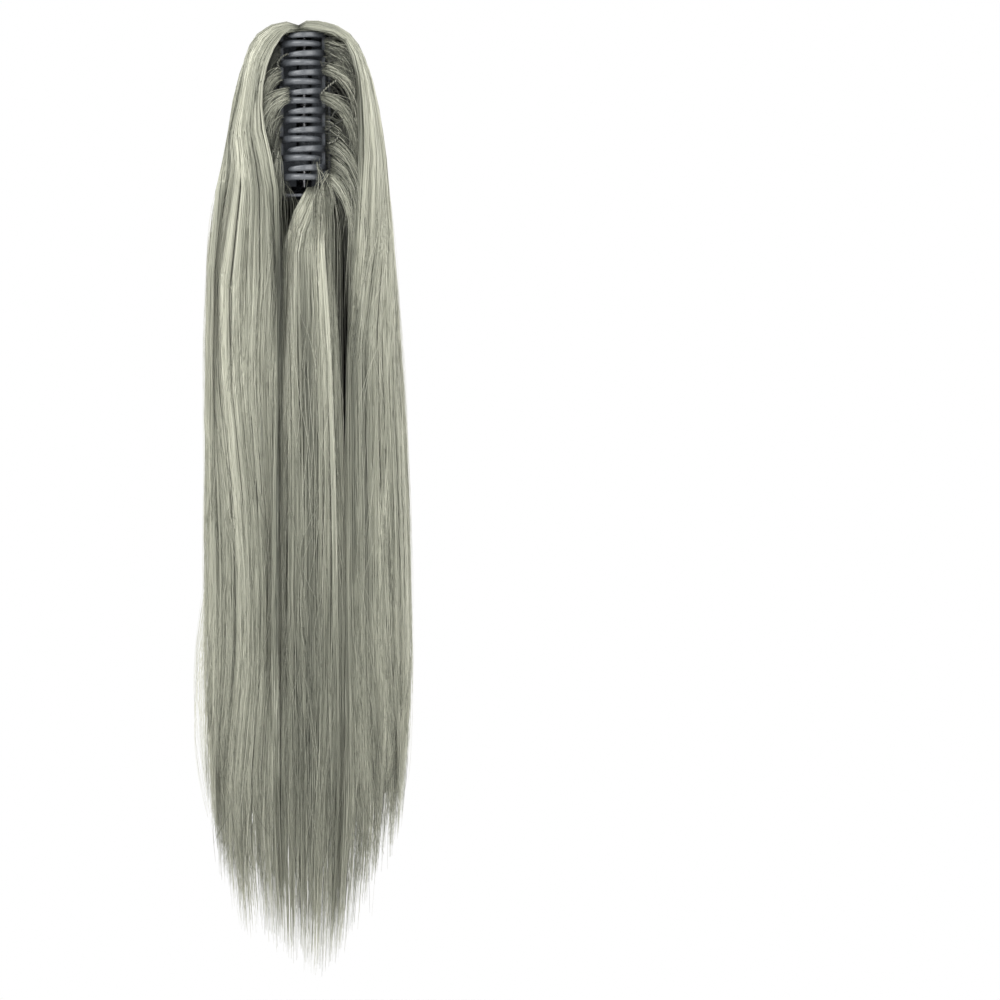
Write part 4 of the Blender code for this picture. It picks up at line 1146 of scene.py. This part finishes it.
class HAIRPIECE_OT_clip(bpy.types.Operator):
    """Finish the claw clip, its pin, its spring and the cloth on it"""
    bl_idname = "hairpiece.clip"
    bl_label = "Claw clip"

    def execute(self, context):
        clip = context.scene.hairpiece_clip
        finishes = (
            (plastic_material("clip_plastic", clip, 0.46, 0.0), ("jaw_left", "jaw_right")),
            (metal_material("clip_metal", clip), ("hinge_pin", "closing_spring")),
            (cloth_material("net_cloth", clip), ("weft_left", "weft_right", "weft_net")),
        )
        for material, names in finishes:
            for name in names:
                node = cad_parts[name]
                node.data.materials.clear()
                node.data.materials.append(material)
        # The teeth use the same plastic painted darker (0.75); the jaws' paler copy is painted light in the
        # bite.
        plastic = plastic_material("tooth_plastic", clip, 0.28, 0.40, 0.75)
        for row in TOOTH_ROWS:
            settle(row_of_teeth(row, plastic), f"{row.word}_jaw")
        thread = hair_material("sewing_thread", context.scene.hairpiece_hair, 0.45)
        for word, routes in (("left", LEFT_THREADS), ("right", RIGHT_THREADS)):
            settle(twisted_threads(f"threads_{word}", routes, thread), f"{word}_jaw")
        return {"FINISHED"}


class HAIRPIECE_OT_inner_hair(bpy.types.Operator):
    """Grow the hair that is sewn to the clip's two jaws"""
    bl_idname = "hairpiece.inner_hair"
    bl_label = "Inner hair"

    def execute(self, context):
        hair = context.scene.hairpiece_hair
        material = hair_material("inner_strand", hair)
        for word, table, sign in (("left", LEFT_BUNDLES, -1.0), ("right", RIGHT_BUNDLES, 1.0)):
            piece = bundles(f"inner_hair_{word}", table, 71, material, hair.radius)
            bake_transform(piece)
        return {"FINISHED"}


class HAIRPIECE_OT_loose_hair(bpy.types.Operator):
    """Lay single hairs over the curtains and feather the sides and ends"""
    bl_idname = "hairpiece.loose_hair"
    bl_label = "Loose hair"

    def execute(self, context):
        hair = context.scene.hairpiece_hair
        material = hair_material("loose_strand", hair)
        nodes = ("crown", "outer_fall")
        left = front_flow((*nodes, "left_curtain"), LEFT_EDGES, CURTAIN_DEPTH)
        right = front_flow((*nodes, "right_curtain"), RIGHT_EDGES, CURTAIN_DEPTH)
        tuft = front_flow(("centre_tuft",), TUFT_EDGES, TUFT_DEPTH)
        back = fall_flow()
        counts = (("left", left, 380), ("right", right, 300), ("tuft", tuft, 260), ("back", back, 500))
        pieces = [loose_strands(f"loose_hair_{word}", flow, count, 81, material, hair.radius, -440.0, -40.0)
                  for word, flow, count in counts]
        edges = ((left, 170), (right, 130))
        ends = ((left, 500), (right, 450), (tuft, 400), (back, 1000))
        pieces.append(edge_fan("edge_fan", left, 46, 84, material, hair.radius))
        pieces.append(stray_fans("stray_hair", edges, 82, material, hair.radius))
        pieces.append(tip_hair("tip_hair", ends, 83, material, hair.radius))
        for piece in pieces:
            settle(piece, "root")
        return {"FINISHED"}


class HAIRPIECE_OT_stage(bpy.types.Operator):
    """Set the camera, the soft light and the pale floor"""
    bl_idname = "hairpiece.stage"
    bl_label = "Stage"

    def execute(self, context):
        stage = context.scene.hairpiece_stage
        deselect()
        bpy.ops.mesh.primitive_circle_add(vertices=96, radius=1.6, fill_type="NGON",
                                          location=(0.0, 0.0, stage.floor_height))
        floor = context.active_object
        floor.name = "floor"
        shader = Shader("pale_floor")
        shader.set(Base_Color=(0.86, 0.86, 0.86, 1.0), Roughness=0.7)
        floor.data.materials.append(shader.material)

        world = bpy.data.worlds.new("surroundings")
        world.use_nodes = True
        world.node_tree.nodes["Background"].inputs["Color"].default_value = (1.0, 1.0, 1.0, 1.0)
        world.node_tree.nodes["Background"].inputs["Strength"].default_value = stage.background
        context.scene.world = world

        for light in LIGHTS:
            bpy.ops.object.light_add(type="AREA", location=light.place)
            lamp = context.active_object
            lamp.name = light.name
            lamp.data.size = LIGHT_SIZE
            lamp.data.energy = stage.key_power * light.share
            aim = Vector(LIGHT_AIM) - lamp.location
            lamp.rotation_euler = aim.to_track_quat("-Z", "Y").to_euler()

        camera_data = bpy.data.cameras.new("camera")
        camera = bpy.data.objects.new("camera", camera_data)
        context.scene.collection.objects.link(camera)
        camera.location = (stage.aside, -stage.distance, stage.height)
        camera.rotation_euler = (math.pi / 2.0, 0.0, 0.0)
        camera_data.lens = camera_data.sensor_width * stage.distance / stage.picture_width
        camera_data.clip_end = 50.0
        context.scene.camera = camera
        context.scene.view_settings.view_transform = "Standard"
        return {"FINISHED"}


OPERATORS = (HAIRPIECE_OT_stage, HAIRPIECE_OT_clip, HAIRPIECE_OT_crown, HAIRPIECE_OT_outer_fall,
             HAIRPIECE_OT_curtains, HAIRPIECE_OT_tuft, HAIRPIECE_OT_inner_hair, HAIRPIECE_OT_loose_hair)


class HAIRPIECE_PT_sidebar(bpy.types.Panel):
    """Buttons for each piece, with the settings they use"""
    bl_idname = "HAIRPIECE_PT_sidebar"
    bl_label = "Hairpiece"
    bl_space_type = "VIEW_3D"
    bl_region_type = "UI"
    bl_category = "Hairpiece"

    def draw(self, context):
        for operator in OPERATORS:
            self.layout.operator(operator.bl_idname)
        for settings in (context.scene.hairpiece_hair, context.scene.hairpiece_clip,
                         context.scene.hairpiece_stage):
            box = self.layout.box()
            for key in settings.__annotations__:
                box.prop(settings, key)


SETTINGS = (("hairpiece_hair", HairSettings), ("hairpiece_clip", ClipSettings),
            ("hairpiece_stage", StageSettings))


def register():
    """Add the settings, operators and panel."""
    for key, group in SETTINGS:
        bpy.utils.register_class(group)
        setattr(bpy.types.Scene, key, PointerProperty(type=group))
    for kind in (*OPERATORS, HAIRPIECE_PT_sidebar):
        bpy.utils.register_class(kind)


def unregister():
    """Remove them again."""
    for kind in (HAIRPIECE_PT_sidebar, *reversed(OPERATORS)):
        bpy.utils.unregister_class(kind)
    for key, group in reversed(SETTINGS):
        delattr(bpy.types.Scene, key)
        bpy.utils.unregister_class(group)


def main():
    """Dress the hairpiece, one operator after another."""
    register()
    bpy.ops.hairpiece.stage()
    bpy.ops.hairpiece.clip()
    bpy.ops.hairpiece.crown()
    bpy.ops.hairpiece.outer_fall()
    bpy.ops.hairpiece.curtains()
    bpy.ops.hairpiece.tuft()
    bpy.ops.hairpiece.inner_hair()
    bpy.ops.hairpiece.loose_hair()


if __name__ == "__main__":
    main()
